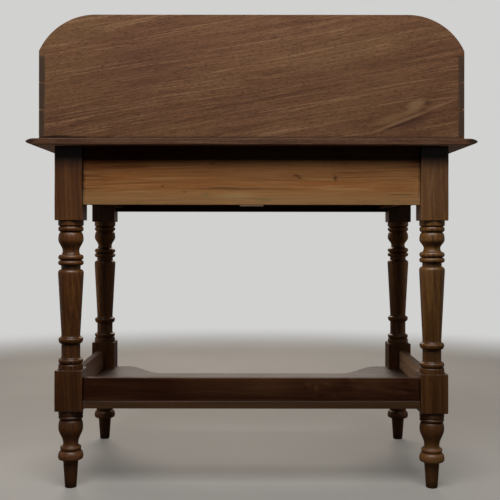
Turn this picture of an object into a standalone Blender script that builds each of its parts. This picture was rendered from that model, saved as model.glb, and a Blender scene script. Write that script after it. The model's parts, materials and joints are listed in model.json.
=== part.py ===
"""A mahogany washstand: four turned legs carry a moulded top with a dovetailed three-sided gallery,
two frieze drawers behind a pine back rail, and an undershelf with raised edges and a hollowed front.

Metres, +Z up. The front faces -Y, the left is -X, and the origin is on the floor under the middle
of the top. The drawers slide along -Y, and each hangs on an empty at the foot of its front face.
"""

import math

import bmesh
import bpy
from mathutils import Matrix, Vector

# Fits
GAP = 0.0003  # glue line between pieces that touch
DRAWER_PLAY = 0.001  # running clearance at each side of a drawer and above it
CUT_MARGIN = 0.004  # how far a cutter runs past the face that it opens
OVERLAP = 0.004  # how far a joined piece is sunk into the piece that it grows from

# Table top
TOP_WIDTH = 0.940
TOP_DEPTH = 0.538
TOP_THICKNESS = 0.013
TOP_HEIGHT = 0.742
NOSE_RUN = 0.013  # depth of the rounded moulding along the front and the two ends
NOSE_STEPS = 8

# Legs
LEG_SECTION = 0.058
END_OVERHANG = 0.0535  # top past the legs at each end
EDGE_OVERHANG = 0.030  # top past the legs at the front and back
UPPER_BLOCK_LIP = 0.027  # upper block below the drawer rail
LOWER_BLOCK_RISE = 0.017  # lower block above the shelf's rails
LOWER_BLOCK_DROP = 0.006  # lower block below the shelf
LEG_SIDES = 14  # facets round the turning

# Heights of the turned mouldings, from the upper block down to the floor
DRUM_LENGTH = 0.0105  # plain drum under the upper block
QUIRK = 0.0024  # fall of the groove beside a bead
VASE_QUIRK = 0.0016  # step between a bead and the mouth of a vase
NECK_BEAD = 0.0112
BELLY_DROP = 0.0150  # mouth of the upper vase down to its belly
DOUBLE_RING_DROP = 0.0795  # upper block down to the ring over the taper
DOUBLE_COVE = 0.0080  # the hollow, the swell and the underside of that ring
DOUBLE_CREST = 0.0060
DOUBLE_FALL = 0.0060
TWIN_BEAD = 0.0110
COLLAR_LENGTH = 0.0085
SHOULDER_DROP = 0.0080
TAPER_RING_RISE = 0.0640  # ring at the foot of the taper, above the lower block
TAPER_COVE = 0.0052
TAPER_CREST = 0.0040
TAPER_FALL = 0.0095
BASE_COLLAR = 0.0108  # collar that stands on the lower block
BASE_QUIRK = 0.0014
BASE_COVE = 0.0050  # the ring on the collar
BASE_CREST = 0.0035
BASE_FALL = 0.0068
ANKLE_DRUM = 0.0185  # plain drum under the lower block's mark
ANKLE_QUIRK = 0.0014
ANKLE_BEAD = 0.0074
ANKLE_DROP = 0.0125  # mouth of the lower vase down to its belly
ANKLE_COVE = 0.0075  # the ring over the foot
ANKLE_CREST = 0.0035
ANKLE_FALL = 0.0080
FOOT_BULB = 0.0190
BULB_BELLY = 0.0062  # widest part of the bulb, above the peg
FOOT_LENGTH = 0.0565  # peg under the bulb

# Radii of the turned mouldings
DRUM_RADIUS = 0.0270
BEAD_RADIUS = 0.0267
GROOVE_RADIUS = 0.0230
VASE_MOUTH_RADIUS = 0.0220
WAIST_RADIUS = 0.0176
COLLAR_RADIUS = 0.0205
TAPER_TOP_RADIUS = 0.0272
SHANK_RADIUS = 0.0199  # foot of the taper and the shank below its ring
RING_RADIUS = 0.0261
ANKLE_WAIST_RADIUS = 0.0161
ANKLE_RING_RADIUS = 0.0222
FOOT_GROOVE_RADIUS = 0.0195
BULB_FOOT_RADIUS = 0.0242
FOOT_TOP_RADIUS = 0.0152
FOOT_TIP_RADIUS = 0.0116
RING_LIP = 0.45  # how far out a ring's hollow gives way to its swell

# Turned by eye: how far each leg's double ring, taper ring and lower block stray from the marks
LEG_SHIFTS = {
    "rear_left_leg": (0.0065, -0.0040, -0.0075),
    "rear_right_leg": (0.0000, 0.0000, 0.0000),
    "front_left_leg": (0.0055, 0.0020, 0.0000),
    "front_right_leg": (0.0030, -0.0050, 0.0025),
}

# Frieze
RAIL_DROP = 0.016  # back rail below the tops of the runners
SIDE_RAIL_DROP = 0.004  # side rails below the same tops
RAIL_THICKNESS = 0.020
RAIL_SETBACK = 0.006  # back and side rails, behind the outer faces of the legs
FRONT_SETBACK = 0.003  # front rails and drawers, behind the front faces of the legs
TOP_RAIL_HEIGHT = 0.018
FRONT_RAIL_DEPTH = 0.048
DRAWER_RAIL_HEIGHT = 0.022
DRAWER_OPENING = 0.090  # height between the two front rails
DIVIDER_WIDTH = 0.020
TENON_THICKNESS = 0.009
TENON_LENGTH = 0.025
TENON_SHOULDER = 0.012
STUB_LENGTH = 0.006  # stub tenons of the divider, and their shoulders

# Drawer runners, guides, kickers and stops
CENTRE_RUNNER_WIDTH = 0.051
CENTRE_RUNNER_THICKNESS = 0.0195
SIDE_RUNNER_THICKNESS = 0.0150
RUNNER_BEARING = 0.022  # how far a runner or kicker reaches in past the inner face of a leg
RUNNER_TONGUE = 0.008  # thickness and length of the tongue in the drawer rail
RUNNER_EDGE = 0.005  # wood left between a leg and the end of a side runner
HOUSING_SKIN = 0.006  # wood left behind the runners' housings in the back rail
GUIDE_HEIGHT = 0.012
STOP_WIDTH = 0.030
STOP_DEPTH = 0.016
STOP_HEIGHT = 0.006
STOP_OFFSET = 0.110  # from the middle of the drawer

# Drawers
DRAWER_END_SPACE = 0.024  # behind a closed drawer
FRONT_THICKNESS = 0.020
SIDE_THICKNESS = 0.009
BACK_THICKNESS = 0.009
BOTTOM_THICKNESS = 0.006
BOTTOM_LIFT = 0.010  # height of the bottom above the runners
GROOVE_DEPTH = 0.005
SIDE_DROP = 0.003  # drawer sides stop below the top of the front
BACK_DROP = 0.010
LAP = 0.007  # wood left in front of the lapped dovetails
KNOB_OFFSET = 0.088  # from the middle of the drawer
KNOB_RADIUS = 0.019
KNOB_CROWN = 0.0115  # domed end
KNOB_BELLY = 0.0080  # underside, drawn in to the neck
KNOB_NECK = 0.0070
KNOB_BASE = 0.0030
KNOB_NECK_RADIUS = 0.0095
KNOB_BASE_RADIUS = 0.0135
SPIGOT_RADIUS = 0.006
KNOB_SIDES = 12

# Dovetails
TAIL_SLOPE = 1 / 7
PIN_WIDTH = 0.003
HALF_PIN = 0.004

# Gallery
GALLERY_INSET = 0.027  # in from each end of the top
GALLERY_HEIGHT = 0.258
GALLERY_THICKNESS = 0.012
GALLERY_SETBACK = 0.004  # in from the rear edge of the top
CORNER_RADIUS = 0.130
CORNER_DROP = 0.076  # height that the rounded corners take off the sides of the back
SIDE_STEP = 0.007  # sides below the start of the rounded corners
GALLERY_SIDE_LENGTH = 0.420
GALLERY_NOSE_HEIGHT = 0.034  # height of the sides at the front
GALLERY_FLAT = 0.030  # level stretch behind the sweep

# Undershelf
SHELF_THICKNESS = 0.0155
SHELF_HEIGHT = 0.1885  # upper face
SHELF_REAR_SETBACK = 0.005
SHELF_FRONT_SETBACK = 0.019
SHELF_HOLLOW_DEPTH = 0.108
SHELF_LOBE = 0.028  # straight front edge beside each leg
SHELF_SWEEP = 0.105  # length of each ogee at the ends of the hollow
SHELF_RAIL_HEIGHT = 0.048
SHELF_RAIL_THICKNESS = 0.016
SHELF_RAIL_SETBACK = 0.014
SHELF_TENON_THICKNESS = 0.008
SHELF_TENON_LENGTH = 0.020
SHELF_TENON_SHOULDER = 0.008

# Screws
SCREW_HEAD_RADIUS = 0.0042
SCREW_SHANK_RADIUS = 0.0021
SCREW_HEAD_DEPTH = 0.003
GALLERY_SCREW_LENGTH = 0.036
SHELF_SCREW_LENGTH = 0.038
SCREW_SIDES = 8
GALLERY_SCREW_SPACING = 0.300
GALLERY_SIDE_SCREW = 0.245  # forward of the rear face
SHELF_BACK_SCREW = 0.20
SHELF_SIDE_SCREW = 0.09

# Curve steps
BEAD_STEPS = 4
RING_STEPS = 2  # in each of a ring's three curves
VASE_STEPS = 5
SHOULDER_STEPS = 3
CROWN_STEPS = 5
CORNER_STEPS = 10
SWEEP_STEPS = 12

# Levels and faces that several pieces share
UNDERSIDE = TOP_HEIGHT - TOP_THICKNESS
LEG_OUTER_X = TOP_WIDTH / 2 - END_OVERHANG
LEG_OUTER_Y = TOP_DEPTH / 2 - EDGE_OVERHANG
LEG_X = LEG_OUTER_X - LEG_SECTION / 2
LEG_Y = LEG_OUTER_Y - LEG_SECTION / 2
LEG_INNER_X = LEG_OUTER_X - LEG_SECTION
LEG_INNER_Y = LEG_OUTER_Y - LEG_SECTION
FRONT_FACE = -LEG_OUTER_Y + FRONT_SETBACK
RAIL_BACK = FRONT_FACE + FRONT_RAIL_DEPTH
TOP_RAIL_FOOT = UNDERSIDE - TOP_RAIL_HEIGHT
RUNNER_LEVEL = TOP_RAIL_FOOT - DRAWER_OPENING
DRAWER_RAIL_FOOT = RUNNER_LEVEL - DRAWER_RAIL_HEIGHT
UPPER_BLOCK_FOOT = DRAWER_RAIL_FOOT - UPPER_BLOCK_LIP
RAIL_FOOT = RUNNER_LEVEL - RAIL_DROP
SIDE_RAIL_FOOT = RUNNER_LEVEL - SIDE_RAIL_DROP
BACK_RAIL_OUTER = LEG_OUTER_Y - RAIL_SETBACK
BACK_RAIL_INNER = BACK_RAIL_OUTER - RAIL_THICKNESS
SIDE_RAIL_OUTER = LEG_OUTER_X - RAIL_SETBACK
SIDE_RAIL_INNER = SIDE_RAIL_OUTER - RAIL_THICKNESS
RUNNER_NEAR = LEG_INNER_X - RUNNER_BEARING
RUNNER_FAR = LEG_INNER_X - RUNNER_EDGE
RUNNER_END = BACK_RAIL_OUTER - HOUSING_SKIN
OPENING_WIDTH = LEG_INNER_X - DIVIDER_WIDTH / 2
DRAWER_WIDTH = OPENING_WIDTH - 2 * DRAWER_PLAY
DRAWER_HEIGHT = DRAWER_OPENING - GAP - DRAWER_PLAY
DRAWER_LENGTH = BACK_RAIL_INNER - FRONT_FACE - DRAWER_END_SPACE
DRAWER_X = (LEG_INNER_X + DIVIDER_WIDTH / 2) / 2
DRAWER_Z = RUNNER_LEVEL + GAP
GROOVE_TOP = BOTTOM_LIFT + BOTTOM_THICKNESS + 2 * GAP
GALLERY_REAR = TOP_DEPTH / 2 - GALLERY_SETBACK
GALLERY_FOOT = TOP_HEIGHT + GAP
GALLERY_HALF = TOP_WIDTH / 2 - GALLERY_INSET
GALLERY_SIDE_HEIGHT = GALLERY_HEIGHT - CORNER_DROP - SIDE_STEP
SHELF_FOOT = SHELF_HEIGHT - SHELF_THICKNESS
SHELF_RAIL_FOOT = SHELF_HEIGHT + GAP
SHELF_RAIL_TOP = SHELF_HEIGHT + SHELF_RAIL_HEIGHT
SHELF_RAIL_X = LEG_OUTER_X - SHELF_RAIL_SETBACK  # outer faces of the shelf's end rails
SHELF_RAIL_Y = LEG_OUTER_Y - SHELF_RAIL_SETBACK  # rear face of the shelf's back rail

# An outline's two directions, and its thickness, in the world
PLANES = {
    "XY": Matrix.Identity(4),
    "XZ": Matrix.Rotation(math.pi / 2, 4, "X"),
    "YZ": Matrix(((0, 0, 1, 0), (1, 0, 0, 0), (0, 1, 0, 0), (0, 0, 0, 1))),
}


# Scene and materials


def clear_scene():
    for obj in list(bpy.data.objects):
        bpy.data.objects.remove(obj)


def collection(name):
    found = bpy.data.collections.new(name)
    bpy.context.scene.collection.children.link(found)
    return found


def wood(name, colour, roughness):
    made = bpy.data.materials.new(name)
    made.use_nodes = True
    shader = made.node_tree.nodes["Principled BSDF"]
    shader.inputs["Base Color"].default_value = (*colour, 1)
    shader.inputs["Roughness"].default_value = roughness
    return made


def iron(name):
    made = wood(name, (0.10, 0.09, 0.08), 0.55)
    made.node_tree.nodes["Principled BSDF"].inputs["Metallic"].default_value = 0.9
    return made


clear_scene()
PARTS = collection("washstand")
CUTTERS = collection("cutters")
BOARD = wood("faded_mahogany_board", (0.155, 0.076, 0.041), 0.5)
LEG_WOOD = wood("mahogany_turning", (0.120, 0.054, 0.024), 0.4)
RAIL_WOOD = wood("dark_mahogany", (0.085, 0.038, 0.020), 0.45)
PINE = wood("aged_pine", (0.270, 0.140, 0.060), 0.6)
IRON = iron("blackened_iron")


# Making objects


def place(name, mesh, material, matrix=None, parent=None):
    obj = bpy.data.objects.new(name, mesh)
    mesh.materials.append(material)
    obj.parent = parent
    obj.matrix_basis = matrix or Matrix.Identity(4)
    PARTS.objects.link(obj)
    return obj


def helper(name, mesh, matrix=None, parent=None):
    """A cutter, or a block that a Boolean joins to another piece. It isn't a part itself."""
    obj = bpy.data.objects.new(name, mesh)
    obj.parent = parent
    obj.matrix_basis = matrix or Matrix.Identity(4)
    obj.hide_render = True
    obj.display_type = "WIRE"
    CUTTERS.objects.link(obj)
    return obj


def boxes_mesh(name, boxes):
    """One mesh of cubes, each stretched between its low and high corners."""
    made = bmesh.new()
    for low, high in boxes:
        middle = Matrix.Translation((Vector(high) + Vector(low)) / 2)
        stretch = Matrix.Diagonal((*(Vector(high) - Vector(low)), 1))
        bmesh.ops.create_cube(made, size=1, matrix=middle @ stretch)
    mesh = bpy.data.meshes.new(name)
    made.to_mesh(mesh)
    made.free()
    return mesh


def plank(name, low, high, material, parent=None):
    """A squared piece of wood, with its origin at its middle."""
    middle = (Vector(low) + Vector(high)) / 2
    mesh = boxes_mesh(name, [(Vector(low) - middle, Vector(high) - middle)])
    return place(name, mesh, material, Matrix.Translation(middle), parent)


def outline_mesh(name, outlines, thickness):
    """Flat outlines, filled and given a thickness about their own plane."""
    curve = bpy.data.curves.new(name, "CURVE")
    curve.dimensions = "2D"
    curve.fill_mode = "BOTH"
    curve.extrude = thickness / 2
    for outline in outlines:
        spline = curve.splines.new("POLY")
        spline.points.add(len(outline) - 1)
        for point, (u, v) in zip(spline.points, outline):
            point.co = (u, v, 0, 1)
        spline.use_cyclic_u = True
    holder = bpy.data.objects.new(name, curve)
    bpy.context.scene.collection.objects.link(holder)
    graph = bpy.context.evaluated_depsgraph_get()
    mesh = bpy.data.meshes.new_from_object(holder.evaluated_get(graph))
    bpy.data.objects.remove(holder)
    bpy.data.curves.remove(curve)
    welded = bmesh.new()
    welded.from_mesh(mesh)
    bmesh.ops.remove_doubles(welded, verts=welded.verts, dist=1e-6)
    bmesh.ops.recalc_face_normals(welded, faces=welded.faces)
    welded.to_mesh(mesh)
    welded.free()
    return mesh


def profile_mesh(name, profile):
    """A line of points, each a radius and a height, for the Screw modifier to spin."""
    mesh = bpy.data.meshes.new(name)
    points = [(radius, 0, height) for radius, height in profile]
    mesh.from_pydata(points, [(i, i + 1) for i in range(len(points) - 1)], [])
    return mesh


def turn(obj, sides):
    """Spins the object's profile, which runs down its outer side, about its own Z axis."""
    screw = obj.modifiers.new("turning", "SCREW")
    screw.axis = "Z"
    screw.steps = sides
    screw.render_steps = sides
    screw.use_merge_vertices = True
    screw.merge_threshold = 1e-6
    screw.use_smooth_shade = True
    return obj


def boolean(obj, other, operation):
    modifier = obj.modifiers.new(operation.lower(), "BOOLEAN")
    modifier.operation = operation
    modifier.object = other
    modifier.solver = "EXACT"


def cut(obj, boxes, parent=None):
    boolean(obj, helper(f"{obj.name}_cut", boxes_mesh("cut", boxes), None, parent), "DIFFERENCE")


def join(obj, boxes, parent=None):
    boolean(obj, helper(f"{obj.name}_join", boxes_mesh("join", boxes), None, parent), "UNION")


def cut_outlines(obj, outlines, plane, low, high, parent=None):
    """Cuts the outlines out of the object, between two places along the plane's normal."""
    mesh = outline_mesh("cut", outlines, high - low)
    middle = PLANES[plane].to_3x3() @ Vector((0, 0, (low + high) / 2))
    tool = helper(f"{obj.name}_cut", mesh, Matrix.Translation(middle) @ PLANES[plane], parent)
    boolean(obj, tool, "DIFFERENCE")


def grown(box, by):
    low, high = box
    margin = Vector((by, by, by))
    return Vector(low) - margin, Vector(high) + margin


def sided(low, high, side):
    """A box given for the right-hand side, mirrored in X where side is -1."""
    if side > 0:
        return Vector(low), Vector(high)
    return Vector((-high[0], low[1], low[2])), Vector((-low[0], high[1], high[2]))


def ended(low, high, end):
    """A box given for the rear, mirrored in Y where end is -1."""
    if end > 0:
        return Vector(low), Vector(high)
    return Vector((low[0], -high[1], low[2])), Vector((high[0], -low[1], high[2]))


# Curves


def arc(centre, radii, start, stop, steps):
    """Points on an ellipse about centre, from start to stop in degrees."""
    angles = [math.radians(start + (stop - start) * i / steps) for i in range(steps + 1)]
    return [(centre[0] + radii[0] * math.cos(a), centre[1] + radii[1] * math.sin(a)) for a in angles]


def ogee(start, stop, steps):
    """An S that leaves start and reaches stop along the first direction."""
    points = []
    for i in range(steps + 1):
        share = i / steps
        lift = (1 - math.cos(math.pi * share)) / 2
        points.append((start[0] + (stop[0] - start[0]) * share, start[1] + (stop[1] - start[1]) * lift))
    return points


def bead(top, foot, base, crown):
    """A half round moulding on a turning, from its top to its foot."""
    return arc((base, (top + foot) / 2), (crown - base, (top - foot) / 2), 90, -90, BEAD_STEPS)


def ring(height, cove, crest, fall, neck, edge, foot):
    """A hollow that sweeps out from a neck, a swell on to the edge at this height, and a round under it."""
    lip = neck + (edge - neck) * RING_LIP
    hollow = arc((lip, height + crest + cove), (lip - neck, cove), 180, 270, RING_STEPS)
    swell = arc((lip, height), (edge - lip, crest), 90, 0, RING_STEPS)
    under = arc((foot, height), (edge - foot, fall), 0, -90, RING_STEPS)
    return hollow + swell[1:] + under[1:]


def shoulder(top, foot, inner, outer):
    """A rounded shoulder, from a narrow neck out to a full width."""
    return arc((inner, foot), (outer - inner, top - foot), 90, 0, SHOULDER_STEPS)


def vase(top, belly, waist, belly_radius, waist_radius):
    """A bulb that swells from its mouth to its belly and draws in to a waist."""
    swell = belly_radius - VASE_MOUTH_RADIUS
    upper = arc((VASE_MOUTH_RADIUS, belly), (swell, top - belly), 90, 0, SHOULDER_STEPS)
    lower = ogee((belly, belly_radius), (waist, waist_radius), VASE_STEPS)
    return upper + [(radius, height) for height, radius in lower[1:]]


# Dovetails


def tail_spans(low, high, count):
    """Where each tail starts and ends at its wide end, between two half pins."""
    pitch = (high - low - 2 * HALF_PIN + PIN_WIDTH) / count
    starts = [low + HALF_PIN + i * pitch for i in range(count)]
    return [(start, start + pitch - PIN_WIDTH) for start in starts]


def tail_edge(end, root, spans):
    """The outline of a row of tails, going up: each is wide at its end and narrow at its root."""
    draw = abs(end - root) * TAIL_SLOPE
    points = []
    for low, high in spans:
        points += [(root, low + draw), (end, low), (end, high), (root, high - draw)]
    return points


def sockets(end, root, spans, past_end):
    """The outlines that let such tails into the other board, with a glue line all round."""
    outward = 1 if end > root else -1
    far, near = end + outward * past_end, root - outward * CUT_MARGIN
    wide = GAP + TAIL_SLOPE * past_end
    narrow = TAIL_SLOPE * (abs(end - root) + CUT_MARGIN) - GAP
    return [
        [(near, low + narrow), (far, low - wide), (far, high + wide), (near, high - narrow)]
        for low, high in spans
    ]


# Tenons, each as the box that its mortise follows


def back_rail_tenon(side):
    middle = (BACK_RAIL_OUTER + BACK_RAIL_INNER) / 2
    return sided(
        (LEG_INNER_X - OVERLAP, middle - TENON_THICKNESS / 2, RAIL_FOOT + TENON_SHOULDER),
        (LEG_INNER_X + TENON_LENGTH, middle + TENON_THICKNESS / 2, UNDERSIDE - TENON_SHOULDER),
        side,
    )


def side_rail_tenon(side, end):
    middle = (SIDE_RAIL_OUTER + SIDE_RAIL_INNER) / 2
    low, high = sided(
        (middle - TENON_THICKNESS / 2, LEG_INNER_Y - OVERLAP, SIDE_RAIL_FOOT + TENON_SHOULDER),
        (middle + TENON_THICKNESS / 2, LEG_INNER_Y + TENON_LENGTH, UNDERSIDE - TENON_SHOULDER),
        side,
    )
    return ended(low, high, end)


def drawer_rail_tenon(side):
    level = RUNNER_LEVEL - DRAWER_RAIL_HEIGHT / 2
    return sided(
        (LEG_INNER_X - OVERLAP, FRONT_FACE + TENON_SHOULDER, level - TENON_THICKNESS / 2),
        (LEG_INNER_X + TENON_LENGTH, RAIL_BACK - TENON_SHOULDER, level + TENON_THICKNESS / 2),
        side,
    )


def shelf_back_tenon(side):
    middle, half = SHELF_RAIL_Y - SHELF_RAIL_THICKNESS / 2, SHELF_TENON_THICKNESS / 2
    foot, top = SHELF_RAIL_FOOT + SHELF_TENON_SHOULDER, SHELF_RAIL_TOP - SHELF_TENON_SHOULDER
    return sided(
        (LEG_INNER_X - OVERLAP, middle - half, foot),
        (LEG_INNER_X + SHELF_TENON_LENGTH, middle + half, top),
        side,
    )


def shelf_end_tenon(side, end):
    middle, half = SHELF_RAIL_X - SHELF_RAIL_THICKNESS / 2, SHELF_TENON_THICKNESS / 2
    foot, top = SHELF_RAIL_FOOT + SHELF_TENON_SHOULDER, SHELF_RAIL_TOP - SHELF_TENON_SHOULDER
    low, high = sided(
        (middle - half, LEG_INNER_Y - OVERLAP, foot),
        (middle + half, LEG_INNER_Y + SHELF_TENON_LENGTH, top),
        side,
    )
    return ended(low, high, end)


# Legs


def upper_turning(double_ring):
    """From inside the upper block: a drum, a bead, a vase, two rings and the shoulder of the taper."""
    top = UPPER_BLOCK_FOOT
    bead_top = top - DRUM_LENGTH - QUIRK
    mouth = bead_top - NECK_BEAD - VASE_QUIRK
    twin_top = double_ring - DOUBLE_FALL
    collar_top = twin_top - TWIN_BEAD
    shoulder_top = collar_top - COLLAR_LENGTH
    waist = double_ring + DOUBLE_CREST + DOUBLE_COVE
    return [
        (0, top + OVERLAP),
        (DRUM_RADIUS, top + OVERLAP),
        (DRUM_RADIUS, top - DRUM_LENGTH),
        *bead(bead_top, bead_top - NECK_BEAD, GROOVE_RADIUS, BEAD_RADIUS),
        *vase(mouth, mouth - BELLY_DROP, waist, BEAD_RADIUS, WAIST_RADIUS),
        *ring(double_ring, DOUBLE_COVE, DOUBLE_CREST, DOUBLE_FALL, WAIST_RADIUS, BEAD_RADIUS,
              GROOVE_RADIUS)[1:],
        *bead(twin_top, collar_top, GROOVE_RADIUS, DRUM_RADIUS)[1:],
        (COLLAR_RADIUS, collar_top),
        *shoulder(shoulder_top, shoulder_top - SHOULDER_DROP, COLLAR_RADIUS, TAPER_TOP_RADIUS),
    ]


def middle_turning(taper_ring, block_top):
    """The foot of the taper with its ring, a short shank, and a ring and a collar on the lower block."""
    base_ring = block_top + BASE_COLLAR + BASE_QUIRK + BASE_FALL
    return [
        *ring(taper_ring, TAPER_COVE, TAPER_CREST, TAPER_FALL, SHANK_RADIUS, RING_RADIUS, SHANK_RADIUS),
        *ring(base_ring, BASE_COVE, BASE_CREST, BASE_FALL, SHANK_RADIUS, RING_RADIUS, GROOVE_RADIUS),
        (RING_RADIUS, block_top + BASE_COLLAR),
        (RING_RADIUS, block_top - OVERLAP),
    ]


def lower_turning(drum_foot):
    """Under the lower block: a drum, a bead, a vase, a ring, a bulb and the peg on the floor."""
    bead_top = drum_foot - ANKLE_QUIRK
    mouth = bead_top - ANKLE_BEAD - VASE_QUIRK
    ankle_ring = FOOT_LENGTH + FOOT_BULB + ANKLE_FALL
    waist, belly = ankle_ring + ANKLE_CREST + ANKLE_COVE, FOOT_LENGTH + BULB_BELLY
    return [
        (RING_RADIUS, drum_foot),
        *bead(bead_top, bead_top - ANKLE_BEAD, GROOVE_RADIUS, RING_RADIUS),
        *vase(mouth, mouth - ANKLE_DROP, waist, RING_RADIUS, ANKLE_WAIST_RADIUS),
        *ring(ankle_ring, ANKLE_COVE, ANKLE_CREST, ANKLE_FALL, ANKLE_WAIST_RADIUS, ANKLE_RING_RADIUS,
              FOOT_GROOVE_RADIUS)[1:],
        *shoulder(FOOT_LENGTH + FOOT_BULB, belly, FOOT_GROOVE_RADIUS, BEAD_RADIUS)[1:],
        (BULB_FOOT_RADIUS, FOOT_LENGTH),
        (FOOT_TOP_RADIUS, FOOT_LENGTH),
        (FOOT_TIP_RADIUS, 0),
        (0, 0),
    ]


def leg(name, side, end, shifts):
    """A leg turned from one square length: two blocks stay square, and the rails are let into them."""
    ring_shift, taper_shift, block_shift = shifts
    block_top = SHELF_RAIL_TOP + LOWER_BLOCK_RISE + block_shift
    block_mark = SHELF_FOOT - LOWER_BLOCK_DROP
    profile = upper_turning(UPPER_BLOCK_FOOT - DOUBLE_RING_DROP + ring_shift)
    profile += middle_turning(block_top + TAPER_RING_RISE + taper_shift, block_top)
    profile += lower_turning(block_mark - ANKLE_DRUM)
    x, y, half = side * LEG_X, end * LEG_Y, LEG_SECTION / 2
    made = place(name, profile_mesh(name, profile), LEG_WOOD, Matrix.Translation((x, y, 0)))
    turn(made, LEG_SIDES)
    join(made, [
        ((x - half, y - half, UPPER_BLOCK_FOOT), (x + half, y + half, UNDERSIDE - GAP)),
        ((x - half, y - half, block_mark + block_shift), (x + half, y + half, block_top)),
    ])
    tenons = [side_rail_tenon(side, end), shelf_end_tenon(side, end)]
    tenons += [back_rail_tenon(side), shelf_back_tenon(side)] if end > 0 else [drawer_rail_tenon(side)]
    cut(made, [grown(box, GAP) for box in tenons])
    if end < 0:
        cut_outlines(made, [top_rail_socket(side)], "XY", TOP_RAIL_FOOT - GAP, UNDERSIDE + CUT_MARGIN)


# Frieze


def top_rail_tail(side):
    """The dovetail of the front top rail, dropped into the top of a leg: root, end, end and root."""
    middle = FRONT_FACE + FRONT_RAIL_DEPTH / 2
    half = FRONT_RAIL_DEPTH / 2 - TENON_SHOULDER
    wide = half + TENON_LENGTH * TAIL_SLOPE
    root, end = side * LEG_INNER_X, side * (LEG_INNER_X + TENON_LENGTH)
    return [(root, middle - half), (end, middle - wide), (end, middle + wide), (root, middle + half)]


def top_rail_socket(side):
    (root, front), (end, front_end), (_, back_end), (_, back) = top_rail_tail(side)
    mouth, far = root - side * CUT_MARGIN, end + side * GAP
    draw = CUT_MARGIN * TAIL_SLOPE - GAP
    return [(mouth, front + draw), (far, front_end - GAP), (far, back_end + GAP), (mouth, back - draw)]


def front_top_rail():
    inner = LEG_INNER_X - GAP
    tail = [(inner, y) if x == LEG_INNER_X else (x, y) for x, y in top_rail_tail(1)]
    right = [(inner, FRONT_FACE), *tail, (inner, RAIL_BACK)]
    outline = [*right, *[(-x, y) for x, y in reversed(right)]]
    thickness = TOP_RAIL_HEIGHT - GAP
    mesh = outline_mesh("front_top_rail", [outline], thickness)
    level = Matrix.Translation((0, 0, TOP_RAIL_FOOT + thickness / 2))
    made = place("front_top_rail", mesh, RAIL_WOOD, level)
    cut(made, [grown(divider_stub(1), GAP)])


def front_drawer_rail():
    inner = LEG_INNER_X - GAP
    low, high = (-inner, FRONT_FACE, DRAWER_RAIL_FOOT), (inner, RAIL_BACK, RUNNER_LEVEL)
    made = plank("front_drawer_rail", low, high, RAIL_WOOD)
    join(made, [drawer_rail_tenon(-1), drawer_rail_tenon(1)])
    tongues = [runner_tongue(*span) for span in runner_spans()]
    cut(made, [grown(box, GAP) for box in (divider_stub(-1), *tongues)])


def divider_stub(up):
    """A stub tenon of the divider, in the top rail or in the drawer rail, clear of the runner's tongue."""
    half, back = DIVIDER_WIDTH / 2 - STUB_LENGTH, RAIL_BACK - RUNNER_TONGUE - STUB_LENGTH
    low = TOP_RAIL_FOOT - OVERLAP if up > 0 else RUNNER_LEVEL - STUB_LENGTH
    high = TOP_RAIL_FOOT + STUB_LENGTH if up > 0 else RUNNER_LEVEL + OVERLAP
    return (-half, FRONT_FACE + STUB_LENGTH, low), (half, back, high)


def drawer_divider():
    half = DIVIDER_WIDTH / 2
    low, high = (-half, FRONT_FACE, RUNNER_LEVEL + GAP), (half, RAIL_BACK, TOP_RAIL_FOOT - GAP)
    made = plank("drawer_divider", low, high, RAIL_WOOD)
    join(made, [divider_stub(1), divider_stub(-1)])


def back_rail():
    """The plain pine rail across the back. The drawer runners are housed in its inner face."""
    inner = LEG_INNER_X - GAP
    low, high = (-inner, BACK_RAIL_INNER, RAIL_FOOT), (inner, BACK_RAIL_OUTER, UNDERSIDE - GAP)
    made = plank("back_rail", low, high, PINE)
    join(made, [back_rail_tenon(-1), back_rail_tenon(1)])
    front, foot = BACK_RAIL_INNER - CUT_MARGIN, RAIL_FOOT - CUT_MARGIN
    cut(made, [
        ((near - GAP, front, foot), (far + GAP, RUNNER_END, RUNNER_LEVEL + GAP))
        for near, far, _ in runner_spans()
    ])


def side_rail(name, side):
    low = (SIDE_RAIL_INNER, -LEG_INNER_Y + GAP, SIDE_RAIL_FOOT)
    high = (SIDE_RAIL_OUTER, LEG_INNER_Y - GAP, UNDERSIDE - GAP)
    made = plank(name, *sided(low, high, side), RAIL_WOOD)
    join(made, [side_rail_tenon(side, -1), side_rail_tenon(side, 1)])


# Drawer runners, guides, kickers and stops


def runner_spans():
    """The reach in X, and the thickness, of the left, centre and right runners at their ends."""
    half = CENTRE_RUNNER_WIDTH / 2
    return [
        (-RUNNER_FAR, -RUNNER_NEAR, SIDE_RUNNER_THICKNESS),
        (-half, half, CENTRE_RUNNER_THICKNESS),
        (RUNNER_NEAR, RUNNER_FAR, SIDE_RUNNER_THICKNESS),
    ]


def runner_tongue(low, high, thickness):
    """The tongue of a runner, in the back of the drawer rail."""
    level = RUNNER_LEVEL - thickness / 2
    edge, half = RUNNER_TONGUE / 4, RUNNER_TONGUE / 2
    return (
        (low + edge, RAIL_BACK - RUNNER_TONGUE, level - half),
        (high - edge, RAIL_BACK + OVERLAP, level + half),
    )


def runners():
    """The three bearers that the drawers run on, each tongued in front and housed behind."""
    front, back = RAIL_BACK + GAP, RUNNER_END - GAP
    for name, span in zip(("left_runner", "centre_runner", "right_runner"), runner_spans()):
        near, far, thickness = span
        made = plank(name, (near, front, RUNNER_LEVEL - thickness), (far, back, RUNNER_LEVEL), PINE)
        join(made, [runner_tongue(*span)])


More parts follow.
